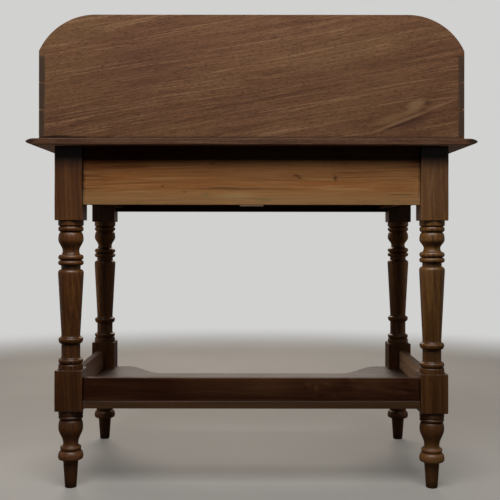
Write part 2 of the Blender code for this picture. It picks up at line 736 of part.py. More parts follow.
def guides():
    """Strips that keep the drawers straight: between them, on a runner, and along the side rails."""
    foot, top = RUNNER_LEVEL + GAP, RUNNER_LEVEL + GAP + GUIDE_HEIGHT
    half = DIVIDER_WIDTH / 2
    plank("centre_guide", (-half, RAIL_BACK + GAP, foot), (half, BACK_RAIL_INNER - GAP, top), PINE)
    low = (LEG_INNER_X, -LEG_INNER_Y + GAP, foot)
    high = (SIDE_RAIL_INNER - GAP, LEG_INNER_Y - GAP, top)
    plank("left_guide", *sided(low, high, -1), PINE)
    plank("right_guide", *sided(low, high, 1), PINE)


def kickers():
    """Strips under the top that keep an open drawer from tipping."""
    foot, top = TOP_RAIL_FOOT + GAP, UNDERSIDE - GAP
    for name, (low, high, _) in zip(("left_kicker", "centre_kicker", "right_kicker"), runner_spans()):
        plank(name, (low, RAIL_BACK + GAP, foot), (high, BACK_RAIL_INNER - GAP, top), PINE)


def stops(name, x):
    """Two small blocks on the drawer rail that the back of a drawer front meets."""
    front, foot = FRONT_FACE + FRONT_THICKNESS + GAP, RUNNER_LEVEL + GAP
    for letter, middle in (("a", x - STOP_OFFSET), ("b", x + STOP_OFFSET)):
        low = (middle - STOP_WIDTH / 2, front, foot)
        high = (middle + STOP_WIDTH / 2, front + STOP_DEPTH, foot + STOP_HEIGHT)
        plank(f"{name}_stop_{letter}", low, high, RAIL_WOOD)


# Drawers, in the space of the empty that carries each of them


def front_tails():
    return tail_spans(0, DRAWER_HEIGHT - SIDE_DROP, 3)


def drawer_back_span():
    return GROOVE_TOP + GAP, DRAWER_HEIGHT - BACK_DROP


def rear_tails():
    return tail_spans(*drawer_back_span(), 2)


def drawer_side(name, side, parent):
    """A drawer side: tails at both ends, and a groove for the bottom."""
    height = DRAWER_HEIGHT - SIDE_DROP
    foot, top = drawer_back_span()
    near, far = FRONT_THICKNESS + GAP, DRAWER_LENGTH - BACK_THICKNESS - GAP
    outline = [
        (near, 0), (DRAWER_LENGTH, 0), (DRAWER_LENGTH, foot - GAP), (far, foot - GAP),
        *tail_edge(DRAWER_LENGTH, far, rear_tails()),
        (far, top + GAP), (DRAWER_LENGTH, top + GAP), (DRAWER_LENGTH, height), (near, height),
        *reversed(tail_edge(LAP, near, front_tails())),
    ]
    middle = Matrix.Translation((side * (DRAWER_WIDTH - SIDE_THICKNESS) / 2, 0, 0))
    mesh = outline_mesh(name, [outline], SIDE_THICKNESS)
    made = place(name, mesh, PINE, middle @ PLANES["YZ"], parent)
    inner = DRAWER_WIDTH / 2 - SIDE_THICKNESS
    low = (inner - CUT_MARGIN, LAP - CUT_MARGIN, BOTTOM_LIFT)
    high = (inner + GROOVE_DEPTH, DRAWER_LENGTH + CUT_MARGIN, GROOVE_TOP)
    cut(made, [sided(low, high, side)], parent)


def end_sockets(obj, outlines, parent):
    """Cuts dovetail sockets through both ends of a drawer's front or back."""
    inner = DRAWER_WIDTH / 2 - SIDE_THICKNESS - GAP
    outer = DRAWER_WIDTH / 2 + CUT_MARGIN
    cut_outlines(obj, outlines, "YZ", inner, outer, parent)
    cut_outlines(obj, outlines, "YZ", -outer, -inner, parent)


def knob_matrix(offset):
    """Stands a knob's own Z axis out of the face of a drawer."""
    return Matrix.Translation((offset, 0, DRAWER_HEIGHT / 2)) @ Matrix.Rotation(math.pi / 2, 4, "X")


def drawer_front(name, parent):
    """A drawer front: lapped sockets at its ends, a groove for the bottom and two holes for knobs."""
    half = DRAWER_WIDTH / 2
    made = plank(name, (-half, 0, 0), (half, FRONT_THICKNESS, DRAWER_HEIGHT), BOARD, parent)
    end_sockets(made, sockets(LAP, FRONT_THICKNESS, front_tails(), GAP), parent)
    inner, past = half - SIDE_THICKNESS + GROOVE_DEPTH, FRONT_THICKNESS + CUT_MARGIN
    groove = (-inner, FRONT_THICKNESS - GROOVE_DEPTH, BOTTOM_LIFT), (inner, past, GROOVE_TOP)
    cut(made, [groove], parent)
    radius = SPIGOT_RADIUS + GAP
    hole = [(0, CUT_MARGIN), (radius, CUT_MARGIN), (radius, -past), (0, -past)]
    for offset in (-KNOB_OFFSET, KNOB_OFFSET):
        drill = helper(f"{name}_drill", profile_mesh("drill", hole), knob_matrix(offset), parent)
        boolean(made, turn(drill, KNOB_SIDES), "DIFFERENCE")


def knob(name, offset, parent):
    """A turned knob with a spigot that goes right through the drawer front."""
    neck = GAP + KNOB_BASE + KNOB_NECK
    rim = neck + KNOB_BELLY
    drawn_in = KNOB_RADIUS - KNOB_NECK_RADIUS
    profile = [
        *arc((0, rim), (KNOB_RADIUS, KNOB_CROWN), 90, 0, CROWN_STEPS),
        *arc((KNOB_NECK_RADIUS, rim), (drawn_in, KNOB_BELLY), 0, -90, SHOULDER_STEPS)[1:],
        (KNOB_NECK_RADIUS, GAP + KNOB_BASE),
        (KNOB_BASE_RADIUS, GAP + KNOB_BASE / 2),
        (KNOB_BASE_RADIUS, GAP),
        (SPIGOT_RADIUS, GAP),
        (SPIGOT_RADIUS, -FRONT_THICKNESS),
        (0, -FRONT_THICKNESS),
    ]
    turn(place(name, profile_mesh(name, profile), LEG_WOOD, knob_matrix(offset), parent), KNOB_SIDES)


def drawer_back(name, parent):
    half, front = DRAWER_WIDTH / 2, DRAWER_LENGTH - BACK_THICKNESS
    foot, top = drawer_back_span()
    made = plank(name, (-half, front, foot), (half, DRAWER_LENGTH, top), PINE, parent)
    end_sockets(made, sockets(DRAWER_LENGTH, front, rear_tails(), CUT_MARGIN), parent)


def drawer_bottom(name, parent):
    """The bottom, slid into its grooves from behind, under the back."""
    half = DRAWER_WIDTH / 2 - SIDE_THICKNESS + GROOVE_DEPTH - GAP
    front, foot = FRONT_THICKNESS - GROOVE_DEPTH + GAP, BOTTOM_LIFT + GAP
    plank(name, (-half, front, foot), (half, DRAWER_LENGTH, foot + BOTTOM_THICKNESS), PINE, parent)


def drawer(name, x):
    slide = bpy.data.objects.new(name, None)
    slide.location = (x, FRONT_FACE, DRAWER_Z)
    PARTS.objects.link(slide)
    drawer_front(f"{name}_front", slide)
    drawer_side(f"{name}_left_side", -1, slide)
    drawer_side(f"{name}_right_side", 1, slide)
    drawer_back(f"{name}_back", slide)
    drawer_bottom(f"{name}_bottom", slide)
    knob(f"{name}_knob_a", -KNOB_OFFSET, slide)
    knob(f"{name}_knob_b", KNOB_OFFSET, slide)


# Top and gallery


def table_top():
    """The top board. A half elliptical nose runs along its front and ends. Its rear edge is square."""
    made = bmesh.new()
    rings = []
    for out, up in arc((0, 0), (NOSE_RUN, TOP_THICKNESS / 2), -90, 90, NOSE_STEPS):
        x, z = TOP_WIDTH / 2 - NOSE_RUN + out, up - TOP_THICKNESS / 2
        front, back = -TOP_DEPTH / 2 + NOSE_RUN - out, TOP_DEPTH / 2
        corners = [(-x, front, z), (x, front, z), (x, back, z), (-x, back, z)]
        rings.append([made.verts.new(corner) for corner in corners])
    for lower, upper in zip(rings, rings[1:]):
        for i in range(4):
            made.faces.new((lower[i], lower[i - 3], upper[i - 3], upper[i]))
    made.faces.new(reversed(rings[0]))
    made.faces.new(rings[-1])
    mesh = bpy.data.meshes.new("table_top")
    made.to_mesh(mesh)
    made.free()
    return place("table_top", mesh, BOARD, Matrix.Translation((0, 0, TOP_HEIGHT)))


def gallery_tails():
    return tail_spans(0, GALLERY_SIDE_HEIGHT, 3)


def gallery_back():
    """The back board, with large rounded corners. Its fine pins take the tails of the two sides."""
    rise = CORNER_RADIUS - CORNER_DROP
    run = math.sqrt(CORNER_RADIUS**2 - rise**2)
    top = GALLERY_HEIGHT - GAP
    start = math.degrees(math.atan2(rise, run))
    centre = GALLERY_HALF - run, top - CORNER_RADIUS
    corner = arc(centre, (CORNER_RADIUS, CORNER_RADIUS), start, 90, CORNER_STEPS)
    right = [(GALLERY_HALF, 0), *corner]
    outline = [*right, *[(-x, z) for x, z in reversed(right)]]
    mesh = outline_mesh("gallery_back", [outline], GALLERY_THICKNESS)
    front = GALLERY_REAR - GALLERY_THICKNESS
    middle = Matrix.Translation((0, (GALLERY_REAR + front) / 2, GALLERY_FOOT))
    made = place("gallery_back", mesh, BOARD, middle @ PLANES["XZ"])
    spans = [(low + GALLERY_FOOT, high + GALLERY_FOOT) for low, high in gallery_tails()]
    holes = sockets(GALLERY_REAR, front, spans, CUT_MARGIN)
    inner, outer = GALLERY_HALF - GALLERY_THICKNESS - GAP, GALLERY_HALF + CUT_MARGIN
    cut_outlines(made, holes, "YZ", inner, outer)
    cut_outlines(made, holes, "YZ", -outer, -inner)
    return made


def gallery_side(name, side):
    """An end of the gallery: tails at the rear, and an ogee that sweeps down to a rounded nose."""
    root = GALLERY_REAR - GALLERY_THICKNESS - GAP
    nose = GALLERY_REAR - GALLERY_SIDE_LENGTH + GALLERY_NOSE_HEIGHT
    high, low = (root - GALLERY_FLAT, GALLERY_SIDE_HEIGHT), (nose, GALLERY_NOSE_HEIGHT)
    outline = [
        (root, 0),
        *tail_edge(GALLERY_REAR, root, gallery_tails()),
        (root, GALLERY_SIDE_HEIGHT),
        *ogee(high, low, SWEEP_STEPS),
        *arc((nose, 0), (GALLERY_NOSE_HEIGHT, GALLERY_NOSE_HEIGHT), 90, 180, CROWN_STEPS)[1:],
    ]
    mesh = outline_mesh(name, [outline], GALLERY_THICKNESS)
    middle = Matrix.Translation((side * (GALLERY_HALF - GALLERY_THICKNESS / 2), 0, GALLERY_FOOT))
    return place(name, mesh, BOARD, middle @ PLANES["YZ"])


# Undershelf


def shelf():
    """The shelf board, let in round the legs. An ogee at each end leads to its hollowed front."""
    leg_face, leg_back = LEG_INNER_X - GAP, LEG_INNER_Y - GAP
    front = -LEG_OUTER_Y + SHELF_FRONT_SETBACK
    lobe = LEG_INNER_X - SHELF_LOBE
    right = [
        (leg_face, LEG_OUTER_Y - SHELF_REAR_SETBACK), (leg_face, leg_back), (SHELF_RAIL_X, leg_back),
        (SHELF_RAIL_X, -leg_back), (leg_face, -leg_back), (leg_face, front),
        *ogee((lobe, front), (lobe - SHELF_SWEEP, front + SHELF_HOLLOW_DEPTH), SWEEP_STEPS),
    ]
    outline = [*right, *[(-x, y) for x, y in reversed(right)]]
    mesh = outline_mesh("shelf", [outline], SHELF_THICKNESS)
    return place("shelf", mesh, RAIL_WOOD, Matrix.Translation((0, 0, SHELF_HEIGHT - SHELF_THICKNESS / 2)))


def shelf_back_rail():
    inner = LEG_INNER_X - GAP
    low = (-inner, SHELF_RAIL_Y - SHELF_RAIL_THICKNESS, SHELF_RAIL_FOOT)
    made = plank("shelf_back_rail", low, (inner, SHELF_RAIL_Y, SHELF_RAIL_TOP), RAIL_WOOD)
    join(made, [shelf_back_tenon(-1), shelf_back_tenon(1)])
    return made


def shelf_end_rail(name, side):
    low = (SHELF_RAIL_X - SHELF_RAIL_THICKNESS, -LEG_INNER_Y + GAP, SHELF_RAIL_FOOT)
    high = (SHELF_RAIL_X, LEG_INNER_Y - GAP, SHELF_RAIL_TOP)
    made = plank(name, *sided(low, high, side), RAIL_WOOD)
    join(made, [shelf_end_tenon(side, -1), shelf_end_tenon(side, 1)])
    return made


# Screws


def screw_profile(length, by, below):
    """A countersunk screw, point up, grown by a clearance and run on below its head."""
    head, shank = SCREW_HEAD_RADIUS + by, SCREW_SHANK_RADIUS + by
    point, neck = length - SCREW_HEAD_DEPTH + by, SCREW_HEAD_DEPTH + by
    return [(0, length + by), (shank, point), (shank, neck), (head, by), (head, -below), (0, -below)]


def screw(name, foot, length, boards):
    """A screw driven up through one board into the next, and its hole in both."""
    matrix = Matrix.Translation(foot)
    solid = screw_profile(length, 0, 0)[:4] + [(0, 0)]
    turn(place(name, profile_mesh(name, solid), IRON, matrix), SCREW_SIDES)
    hole = profile_mesh("drill", screw_profile(length, GAP, CUT_MARGIN))
    drill = turn(helper(f"{name}_drill", hole, matrix), SCREW_SIDES)
    for board in boards:
        boolean(board, drill, "DIFFERENCE")


def gallery_screws(top, back, sides):
    """Screws up through the top into the lower edges of the gallery."""
    middle = GALLERY_REAR - GALLERY_THICKNESS / 2
    spacing, end = GALLERY_SCREW_SPACING, GALLERY_HALF - GALLERY_THICKNESS / 2
    side_y = GALLERY_REAR - GALLERY_SIDE_SCREW
    places = [(-spacing, middle, back), (0, middle, back), (spacing, middle, back)]
    places += [(-end, side_y, sides[0]), (end, side_y, sides[1])]
    for number, (x, y, board) in enumerate(places, 1):
        screw(f"gallery_screw_{number}", (x, y, UNDERSIDE), GALLERY_SCREW_LENGTH, (top, board))


def shelf_screws(board, back, ends):
    """Screws up through the shelf into its three rails."""
    back_y, end_x = SHELF_RAIL_Y - SHELF_RAIL_THICKNESS / 2, SHELF_RAIL_X - SHELF_RAIL_THICKNESS / 2
    places = [(-SHELF_BACK_SCREW, back_y, back), (SHELF_BACK_SCREW, back_y, back)]
    for x, rail in ((-end_x, ends[0]), (end_x, ends[1])):
        places += [(x, -SHELF_SIDE_SCREW, rail), (x, SHELF_SIDE_SCREW, rail)]
    for number, (x, y, rail) in enumerate(places, 1):
        screw(f"shelf_screw_{number}", (x, y, SHELF_FOOT), SHELF_SCREW_LENGTH, (board, rail))


# Assembly


def main():
    for name, shifts in LEG_SHIFTS.items():
        leg(name, -1 if "left" in name else 1, 1 if "rear" in name else -1, shifts)
    back_rail()
    side_rail("left_side_rail", -1)
    side_rail("right_side_rail", 1)
    front_top_rail()
    front_drawer_rail()
    drawer_divider()
    runners()
    guides()
    kickers()
    for name, x in (("left_drawer", -DRAWER_X), ("right_drawer", DRAWER_X)):
        stops(name, x)
        drawer(name, x)
    top = table_top()
    sides = gallery_side("left_gallery_side", -1), gallery_side("right_gallery_side", 1)
    gallery_screws(top, gallery_back(), sides)
    ends = shelf_end_rail("left_shelf_rail", -1), shelf_end_rail("right_shelf_rail", 1)
    shelf_screws(shelf(), shelf_back_rail(), ends)


main()
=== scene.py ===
"""The look of a mahogany washstand, seen from behind: turned legs, a dovetailed gallery on a nosed top,
a pine back rail, two frieze drawers and a hollow-fronted undershelf. Metres, +Z up, the front faces -Y."""

import json
import math

import bmesh
import bpy
import numpy as np
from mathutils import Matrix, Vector

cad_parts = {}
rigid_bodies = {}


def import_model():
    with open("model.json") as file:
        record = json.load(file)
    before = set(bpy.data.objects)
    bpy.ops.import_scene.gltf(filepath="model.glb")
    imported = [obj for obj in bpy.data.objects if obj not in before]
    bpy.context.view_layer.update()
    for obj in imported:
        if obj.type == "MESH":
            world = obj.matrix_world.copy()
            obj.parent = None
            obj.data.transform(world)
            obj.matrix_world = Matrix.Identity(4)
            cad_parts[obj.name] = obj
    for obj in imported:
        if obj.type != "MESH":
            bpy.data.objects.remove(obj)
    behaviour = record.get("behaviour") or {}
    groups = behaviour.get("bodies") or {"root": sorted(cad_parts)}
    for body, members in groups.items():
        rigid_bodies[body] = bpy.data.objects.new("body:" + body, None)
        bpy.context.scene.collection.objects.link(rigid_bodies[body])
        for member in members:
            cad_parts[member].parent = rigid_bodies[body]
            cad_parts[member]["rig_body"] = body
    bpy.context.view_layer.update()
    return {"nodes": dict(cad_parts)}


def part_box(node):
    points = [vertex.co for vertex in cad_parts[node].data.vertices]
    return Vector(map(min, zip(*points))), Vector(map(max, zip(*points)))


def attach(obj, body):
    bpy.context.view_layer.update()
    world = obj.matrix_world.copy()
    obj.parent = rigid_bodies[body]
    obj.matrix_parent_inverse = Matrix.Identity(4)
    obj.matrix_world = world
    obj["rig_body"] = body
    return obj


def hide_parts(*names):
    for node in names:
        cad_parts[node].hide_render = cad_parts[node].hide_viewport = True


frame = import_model()


# The studio. A pale floor fades into a plain grey backdrop. Soft lamps hang over both long sides of the
# stand, a weak one stands at each end, and another lies low behind the feet. The camera looks at the
# stand from behind, level, from a little lower than its top.

def shade(red, green, blue):
    """A colour as it shows on a screen, 0 to 255, in the linear light that the shaders mix."""
    screen = np.array((red, green, blue)) / 255
    linear = np.where(screen < 0.04045, screen / 12.92, ((screen + 0.055) / 1.055) ** 2.4)
    return (*linear.tolist(), 1)


def add(tree, kind, sockets=None, **settings):
    """A new node. Each socket gets a number or colour, or a link where its value is another socket."""
    made = tree.nodes.new(kind)
    for key, value in settings.items():
        setattr(made, key, value)
    for key, value in (sockets or {}).items():
        if isinstance(value, bpy.types.NodeSocket):
            tree.links.new(value, made.inputs[key])
        else:
            made.inputs[key].default_value = value
    return made


def mix(tree, share, first, second, blend="MIX"):
    """One colour laid over another, by a share that may itself be a pattern."""
    sockets = {"Factor": share, 6: first, 7: second}
    made = add(tree, "ShaderNodeMix", sockets, data_type="RGBA", blend_type=blend, clamp_factor=True)
    return made.outputs[2]


def reckon(tree, operation, *values):
    """A sum on numbers or patterns."""
    return add(tree, "ShaderNodeMath", dict(enumerate(values)), operation=operation).outputs[0]


def spread(tree, value, low, high, start=0.0, stop=1.0):
    """A pattern stretched so that low and high become start and stop, and cut off there."""
    span = {"Value": value, "From Min": low, "From Max": high, "To Min": start, "To Max": stop}
    return add(tree, "ShaderNodeMapRange", span).outputs["Result"]


def link_in(thing):
    """A new object, put into the scene."""
    bpy.context.scene.collection.objects.link(thing)
    return thing


def soft_lamp(name, place, aim, size, power, tint=(1, 1, 1), beam=180, mirrored=True):
    """A soft rectangular lamp, turned to face a spot, that may be shaded to a narrower beam and left
    out of reflections."""
    light = bpy.data.lights.new(name, "AREA")
    light.shape = "RECTANGLE"
    light.size, light.size_y = size
    light.energy = power
    light.color = tint
    light.spread = math.radians(beam)
    lamp = link_in(bpy.data.objects.new(name, light))
    lamp.location = place
    lamp.rotation_euler = (Vector(aim) - Vector(place)).to_track_quat("-Z", "Y").to_euler()
    lamp.visible_camera = False
    lamp.visible_glossy = mirrored
    return lamp


CAMERA_PLACE = (0.0, 2.014, 0.555)
CAMERA_LENS = 60.5
CAMERA_ROLL = -0.06  # degrees
FRAME_DROP, FRAME_SHIFT = 0.0432, 0.003  # the picture's middle, below the horizon and aside, over its width
SENSOR_WIDTH = 36

lens = bpy.data.cameras.new("camera")
lens.sensor_width, lens.lens = SENSOR_WIDTH, CAMERA_LENS
lens.shift_x, lens.shift_y = -FRAME_SHIFT, -FRAME_DROP
camera = link_in(bpy.data.objects.new("camera", lens))
camera.location = CAMERA_PLACE
camera.rotation_euler = [math.radians(turn) for turn in (90, CAMERA_ROLL, 180)]
bpy.context.scene.camera = camera
bpy.context.scene.view_settings.view_transform = "Standard"

soft_lamp("rear_lamp", place=(0.05, 1.34, 2.21), aim=(0, 0.15, 0.62), size=(1.9, 1.0), power=63)
soft_lamp("front_lamp", place=(0.2, -2.0, 1.7), aim=(0, -0.1, 0.45), size=(2.0, 1.2), power=40,
          tint=(1, 0.87, 0.75))
for name, side, power in (("right_lamp", 1, 2.4), ("left_lamp", -1, 1.4)):
    soft_lamp(name, place=(1.7 * side, -0.25, 0.42), aim=(0.40 * side, 0.0, 0.62), size=(0.7, 0.8),
              power=power, beam=70, mirrored=False)
soft_lamp("low_lamp", place=(0, 1.5, 0.05), aim=(0, 0.2, 0.09), size=(1.8, 0.05), power=0.10,
          beam=14, mirrored=False)

BACKDROP_TONE = shade(209, 209, 208)
BACKDROP_FILL = 0.015  # what the backdrop adds to dull surfaces
GLOSS_SHARE = 0.18  # and what polished ones show of it
backdrop = bpy.data.worlds.new("backdrop")
bpy.context.scene.world = backdrop
backdrop.use_nodes = True
tree = backdrop.node_tree
ray = add(tree, "ShaderNodeLightPath").outputs
mirrored = reckon(tree, "MULTIPLY", ray["Is Glossy Ray"], GLOSS_SHARE)
seen = reckon(tree, "MAXIMUM", ray["Is Camera Ray"], mirrored)
plain = tree.nodes["Background"]
plain.inputs["Color"].default_value = BACKDROP_TONE
tree.links.new(spread(tree, seen, 0, 1, BACKDROP_FILL, 1), plain.inputs["Strength"])

FLOOR_REACH = 3.2
FLOOR_FADE = (1.75, 2.75)
FLOOR_GLOW = 0.5  # keeps the shadow under the stand soft
FLOOR_TONES = shade(121, 118, 114), shade(130, 127, 122)
FLOOR_BOUNCE = shade(42, 38, 34)  # what the stand gets of it, so that little light comes up from below
FLOOR_ROUGHNESS, FLOOR_SHEEN = 0.55, 0.2
FLOOR_CLOUDS, CLOUD_DETAIL = 3.0, 4  # how often its two tones change to a metre
FLOOR_SIDES = 96
floor_mesh = bpy.data.meshes.new("floor")
round_floor = np.linspace(0, 2 * np.pi, FLOOR_SIDES + 1)[:-1]
rim = np.column_stack((np.cos(round_floor), np.sin(round_floor), 0 * round_floor)) * FLOOR_REACH
floor_mesh.from_pydata(rim.tolist(), [], [list(range(len(rim)))])
link_in(bpy.data.objects.new("floor", floor_mesh))
floor_paint = bpy.data.materials.new("pale_floor")
floor_paint.use_nodes = True
tree = floor_paint.node_tree
spot = add(tree, "ShaderNodeTexCoord").outputs["Object"]
far = add(tree, "ShaderNodeVectorMath", {0: spot}, operation="LENGTH").outputs["Value"]
fade = add(tree, "ShaderNodeMapRange", {"Value": far, "From Min": FLOOR_FADE[0], "From Max": FLOOR_FADE[1],
                                        "To Min": 1, "To Max": 0}, interpolation_type="SMOOTHSTEP")
clouds = {"Vector": spot, "Scale": FLOOR_CLOUDS, "Detail": CLOUD_DETAIL}
cloud = add(tree, "ShaderNodeTexNoise", clouds).outputs["Fac"]
straight_on = add(tree, "ShaderNodeLightPath").outputs["Is Camera Ray"]
pale = mix(tree, cloud, *FLOOR_TONES)
tone = mix(tree, straight_on, FLOOR_BOUNCE, pale)
glow = reckon(tree, "MULTIPLY", straight_on, FLOOR_GLOW)
finish = tree.nodes["Principled BSDF"]
for source, socket in ((tone, "Base Color"), (fade.outputs["Result"], "Alpha"),
                       (pale, "Emission Color"), (glow, "Emission Strength")):
    tree.links.new(source, finish.inputs[socket])
finish.inputs["Roughness"].default_value = FLOOR_ROUGHNESS
finish.inputs["Specular IOR Level"].default_value = FLOOR_SHEEN
floor_mesh.materials.append(floor_paint)


# The legs. Each is turned from one square length of mahogany, with two blocks left square for the
# rails. They were turned by eye, so rings and blocks stray a little from leg to leg.

GRAIN_TURNS = {"X": (0, 0, 0), "Y": (0, 0, 90), "Z": (0, -90, 0)}
GRAIN_LINES = {"X": (1, 0, 0), "Y": (0, 1, 0), "Z": (0, 0, 1)}
GRAIN = {  # how often a pattern changes to a metre along the grain and across it, and its finer detail
    "drift": (1.6, 7, 2), "broad": (0.9, 26, 3), "narrow": (3.5, 150, 2), "fibre": (14, 700, 1),
    "flecks": (130, 820, 1.5), "pores": (70, 1500, 0), "fade": (2.2, 11, 3), "lines": (2.6, 330, 1),
}
SHOWS = {  # where a pattern starts to show, and where it shows in full
    "flecks": (0.53, 0.68), "pores": (0.60, 0.72), "stain": (0.42, 0.75), "fade": (0.44, 0.62),
    "lines": (0.60, 0.72), "end": (0.55, 0.98), "underside": (-0.50, -0.95), "rubbed": (0.36, 0.62),
}
RING_STRETCH, RING_WAVE = 0.05, 0.314  # rings are long; one is 0.314 m wide where the wave's scale is 1
RING_WOBBLE = {"Distortion": 5, "Detail": 3, "Detail Scale": 0.22}
STAIN_CLOUDS = {"Scale": 7, "Detail": 5}
RAMP_ENDS = 0.12, 0.88  # where the darkest and the palest tone are reached
FIGURE_CORE, FIGURE_FRAY = 0.35, 1.2  # how far out a figure is full, and how far the grain frays its edge
FIGURE_REACH = 9  # a figure goes right through the piece
BAND_FRAY = 0.7
UNDERSIDE_SHARE, GRIME_AND_SHADE_SHARE = 0.8, 0.75  # the most that the underside tone and the grime mark cover; each is painted shade in places
GLOSS_SPAN, GLOSS_GRAIN = (0.5, 1.1), 0.6
PORE_DULL, DIRT_DULL = 0.12, 0.15
PORE_DEPTH, FIBRE_RISE, CLOUD_RISE, RELIEF_DEPTH = -0.8, 0.5, 1.5, 0.0004


def streaks(tree, spot, pattern):
    """A cloudy pattern drawn out along the grain: so many changes to a metre along it and across it."""
    along, across, detail = GRAIN[pattern]
    drawn = add(tree, "ShaderNodeVectorMath", {0: spot, 1: (along, across, across)}, operation="MULTIPLY")
    return add(tree, "ShaderNodeTexNoise", {"Vector": drawn.outputs[0], "Scale": 1, "Detail": detail}).outputs


def timber(name, grain, pith, look, tilt=(0, 0, 0), bands=(), figures=()):
    """Wood as a solid: growth rings round a pith line, streaks and fibres along it, and pores that show
    as dashes on a long face and dots on an end. Thin pale lines and slow drifts of hue follow the grain.
    Worn edges are paler, hollows hold dirt. A look gives the tones, how strong each pattern is and, as
    ring, how wide a growth ring is. A band is a change of tone with height: where it is full, where it has
    gone, its share, its tone and how it is laid on. A figure is a soft-edged oval of another tone on the
    face: its middle, half length, half width, lean, share and tone."""
    made = bpy.data.materials.new(name)
    made.use_nodes = True
    tree = made.node_tree
    shader = tree.nodes["Principled BSDF"]
    place = add(tree, "ShaderNodeTexCoord").outputs["Object"]
    turn = [math.radians(a + b) for a, b in zip(GRAIN_TURNS[grain], tilt)]
    sockets = {"Vector": place, "Location": pith, "Rotation": turn}
    straight = add(tree, "ShaderNodeMapping", sockets, vector_type="TEXTURE").outputs[0]
    sway = {0: streaks(tree, straight, "drift")["Color"], 1: (0.5, 0.5, 0.5)}
    drift = add(tree, "ShaderNodeVectorMath", sway, operation="SUBTRACT")
    bend = (0, look["wander"], look["wander"])
    bent = add(tree, "ShaderNodeVectorMath", {0: drift.outputs[0], 1: bend, 2: straight},
               operation="MULTIPLY_ADD").outputs[0]

    drawn = add(tree, "ShaderNodeVectorMath", {0: bent, 1: (RING_STRETCH, 1, 1)}, operation="MULTIPLY")
    rings = add(tree, "ShaderNodeTexWave", {
        "Vector": drawn.outputs[0], "Scale": RING_WAVE / look["ring"], **RING_WOBBLE,
    }, wave_type="RINGS", rings_direction="X", wave_profile="SAW").outputs["Fac"]
    broad, narrow, fibre = (streaks(tree, bent, pattern)["Fac"] for pattern in ("broad", "narrow", "fibre"))
    flecks = spread(tree, streaks(tree, bent, "flecks")["Fac"], *SHOWS["flecks"])
    pores = spread(tree, streaks(tree, straight, "pores")["Fac"], *SHOWS["pores"])

    tone = reckon(tree, "MULTIPLY_ADD", rings, look["rings"], 0.5 - look["rings"] / 2)
    for pattern, amount in ((broad, look["broad"]), (narrow, look["narrow"]), (fibre, look["fibre"])):
        tone = reckon(tree, "MULTIPLY_ADD", reckon(tree, "SUBTRACT", pattern, 0.5), amount, tone)
    colours = add(tree, "ShaderNodeValToRGB", {"Fac": tone})
    ramp = colours.color_ramp
    for element, position, key in zip(ramp.elements, RAMP_ENDS, ("dark", "light")):
        element.position, element.color = position, shade(*look[key])
    ramp.elements.new(0.5).color = shade(*look["mid"])

    clouds = add(tree, "ShaderNodeTexNoise", {"Vector": place, **STAIN_CLOUDS}).outputs["Fac"]
    stains = spread(tree, clouds, *SHOWS["stain"], 0, look["stain"])
    colour = mix(tree, stains, colours.outputs["Color"], shade(*look["stained"]))
    drifts = spread(tree, streaks(tree, bent, "fade")["Fac"], *SHOWS["fade"], 0, look["fade"])
    colour = mix(tree, drifts, colour, shade(*look["faded"]))
    lines = spread(tree, streaks(tree, bent, "lines")["Fac"], *SHOWS["lines"], 0, look["lines"])
    colour = mix(tree, lines, colour, shade(*look["bare"]))
    normal = add(tree, "ShaderNodeNewGeometry").outputs["Normal"]
    facing = add(tree, "ShaderNodeVectorMath", {0: normal, 1: GRAIN_LINES[grain]}, operation="DOT_PRODUCT")
    end = spread(tree, reckon(tree, "ABSOLUTE", facing.outputs["Value"]), *SHOWS["end"], 0, look["end"])
    colour = mix(tree, end, colour, shade(*look["end_tone"]))
    # The underside tone: raw wood under the top, and near black under the runners as painted shade.
    if "underside_tone" in look:
        downward = add(tree, "ShaderNodeSeparateXYZ", {"Vector": normal}).outputs["Z"]
        underside = spread(tree, downward, *SHOWS["underside"], 0, UNDERSIDE_SHARE)
        colour = mix(tree, underside, colour, shade(*look["underside_tone"]))
    colour = mix(tree, reckon(tree, "MULTIPLY", flecks, look["flecks"]), colour, shade(*look["pore"]))
    colour = mix(tree, reckon(tree, "MULTIPLY", pores, look["pores"]), colour, shade(*look["pore"]))
    for x, z, long, wide, lean, amount, shown in figures:
        oval = {"Vector": place, "Location": (x, 0, z), "Rotation": (0, math.radians(lean), 0),
                "Scale": (long, FIGURE_REACH, wide)}
        oval = add(tree, "ShaderNodeMapping", oval, vector_type="TEXTURE").outputs[0]
        gap = add(tree, "ShaderNodeVectorMath", {0: oval}, operation="LENGTH").outputs["Value"]
        gap = reckon(tree, "MULTIPLY_ADD", reckon(tree, "SUBTRACT", narrow, 0.5), FIGURE_FRAY, gap)
        colour = mix(tree, spread(tree, gap, FIGURE_CORE, 1, amount, 0), colour, shade(*shown))
    height = add(tree, "ShaderNodeSeparateXYZ", {"Vector": place}).outputs["Z"]
    for full, none, amount, shown, blend in bands:
        fray = (none - full) * BAND_FRAY
        frayed = reckon(tree, "MULTIPLY_ADD", reckon(tree, "SUBTRACT", clouds, 0.5), fray, height)
        colour = mix(tree, spread(tree, frayed, full, none, amount, 0), colour, shade(*shown), blend)
    worn = add(tree, "ShaderNodeAttribute", attribute_name="worn").outputs["Fac"]
    rubbed = reckon(tree, "MULTIPLY", worn, spread(tree, clouds, *SHOWS["rubbed"], 0, look["worn"]))
    colour = mix(tree, rubbed, colour, shade(*look["bare"]))
    # The grime mark: dirt in the legs' hollows and round the knobs' feet, and painted shade on the top's nose
    # ends.
    grime_and_shade = add(tree, "ShaderNodeAttribute", attribute_name="grime_and_shade").outputs["Fac"]
    colour = mix(tree, reckon(tree, "MULTIPLY", grime_and_shade, GRIME_AND_SHADE_SHARE), colour, shade(*look["grime_and_shade_tone"]))
    tree.links.new(colour, shader.inputs["Base Color"])

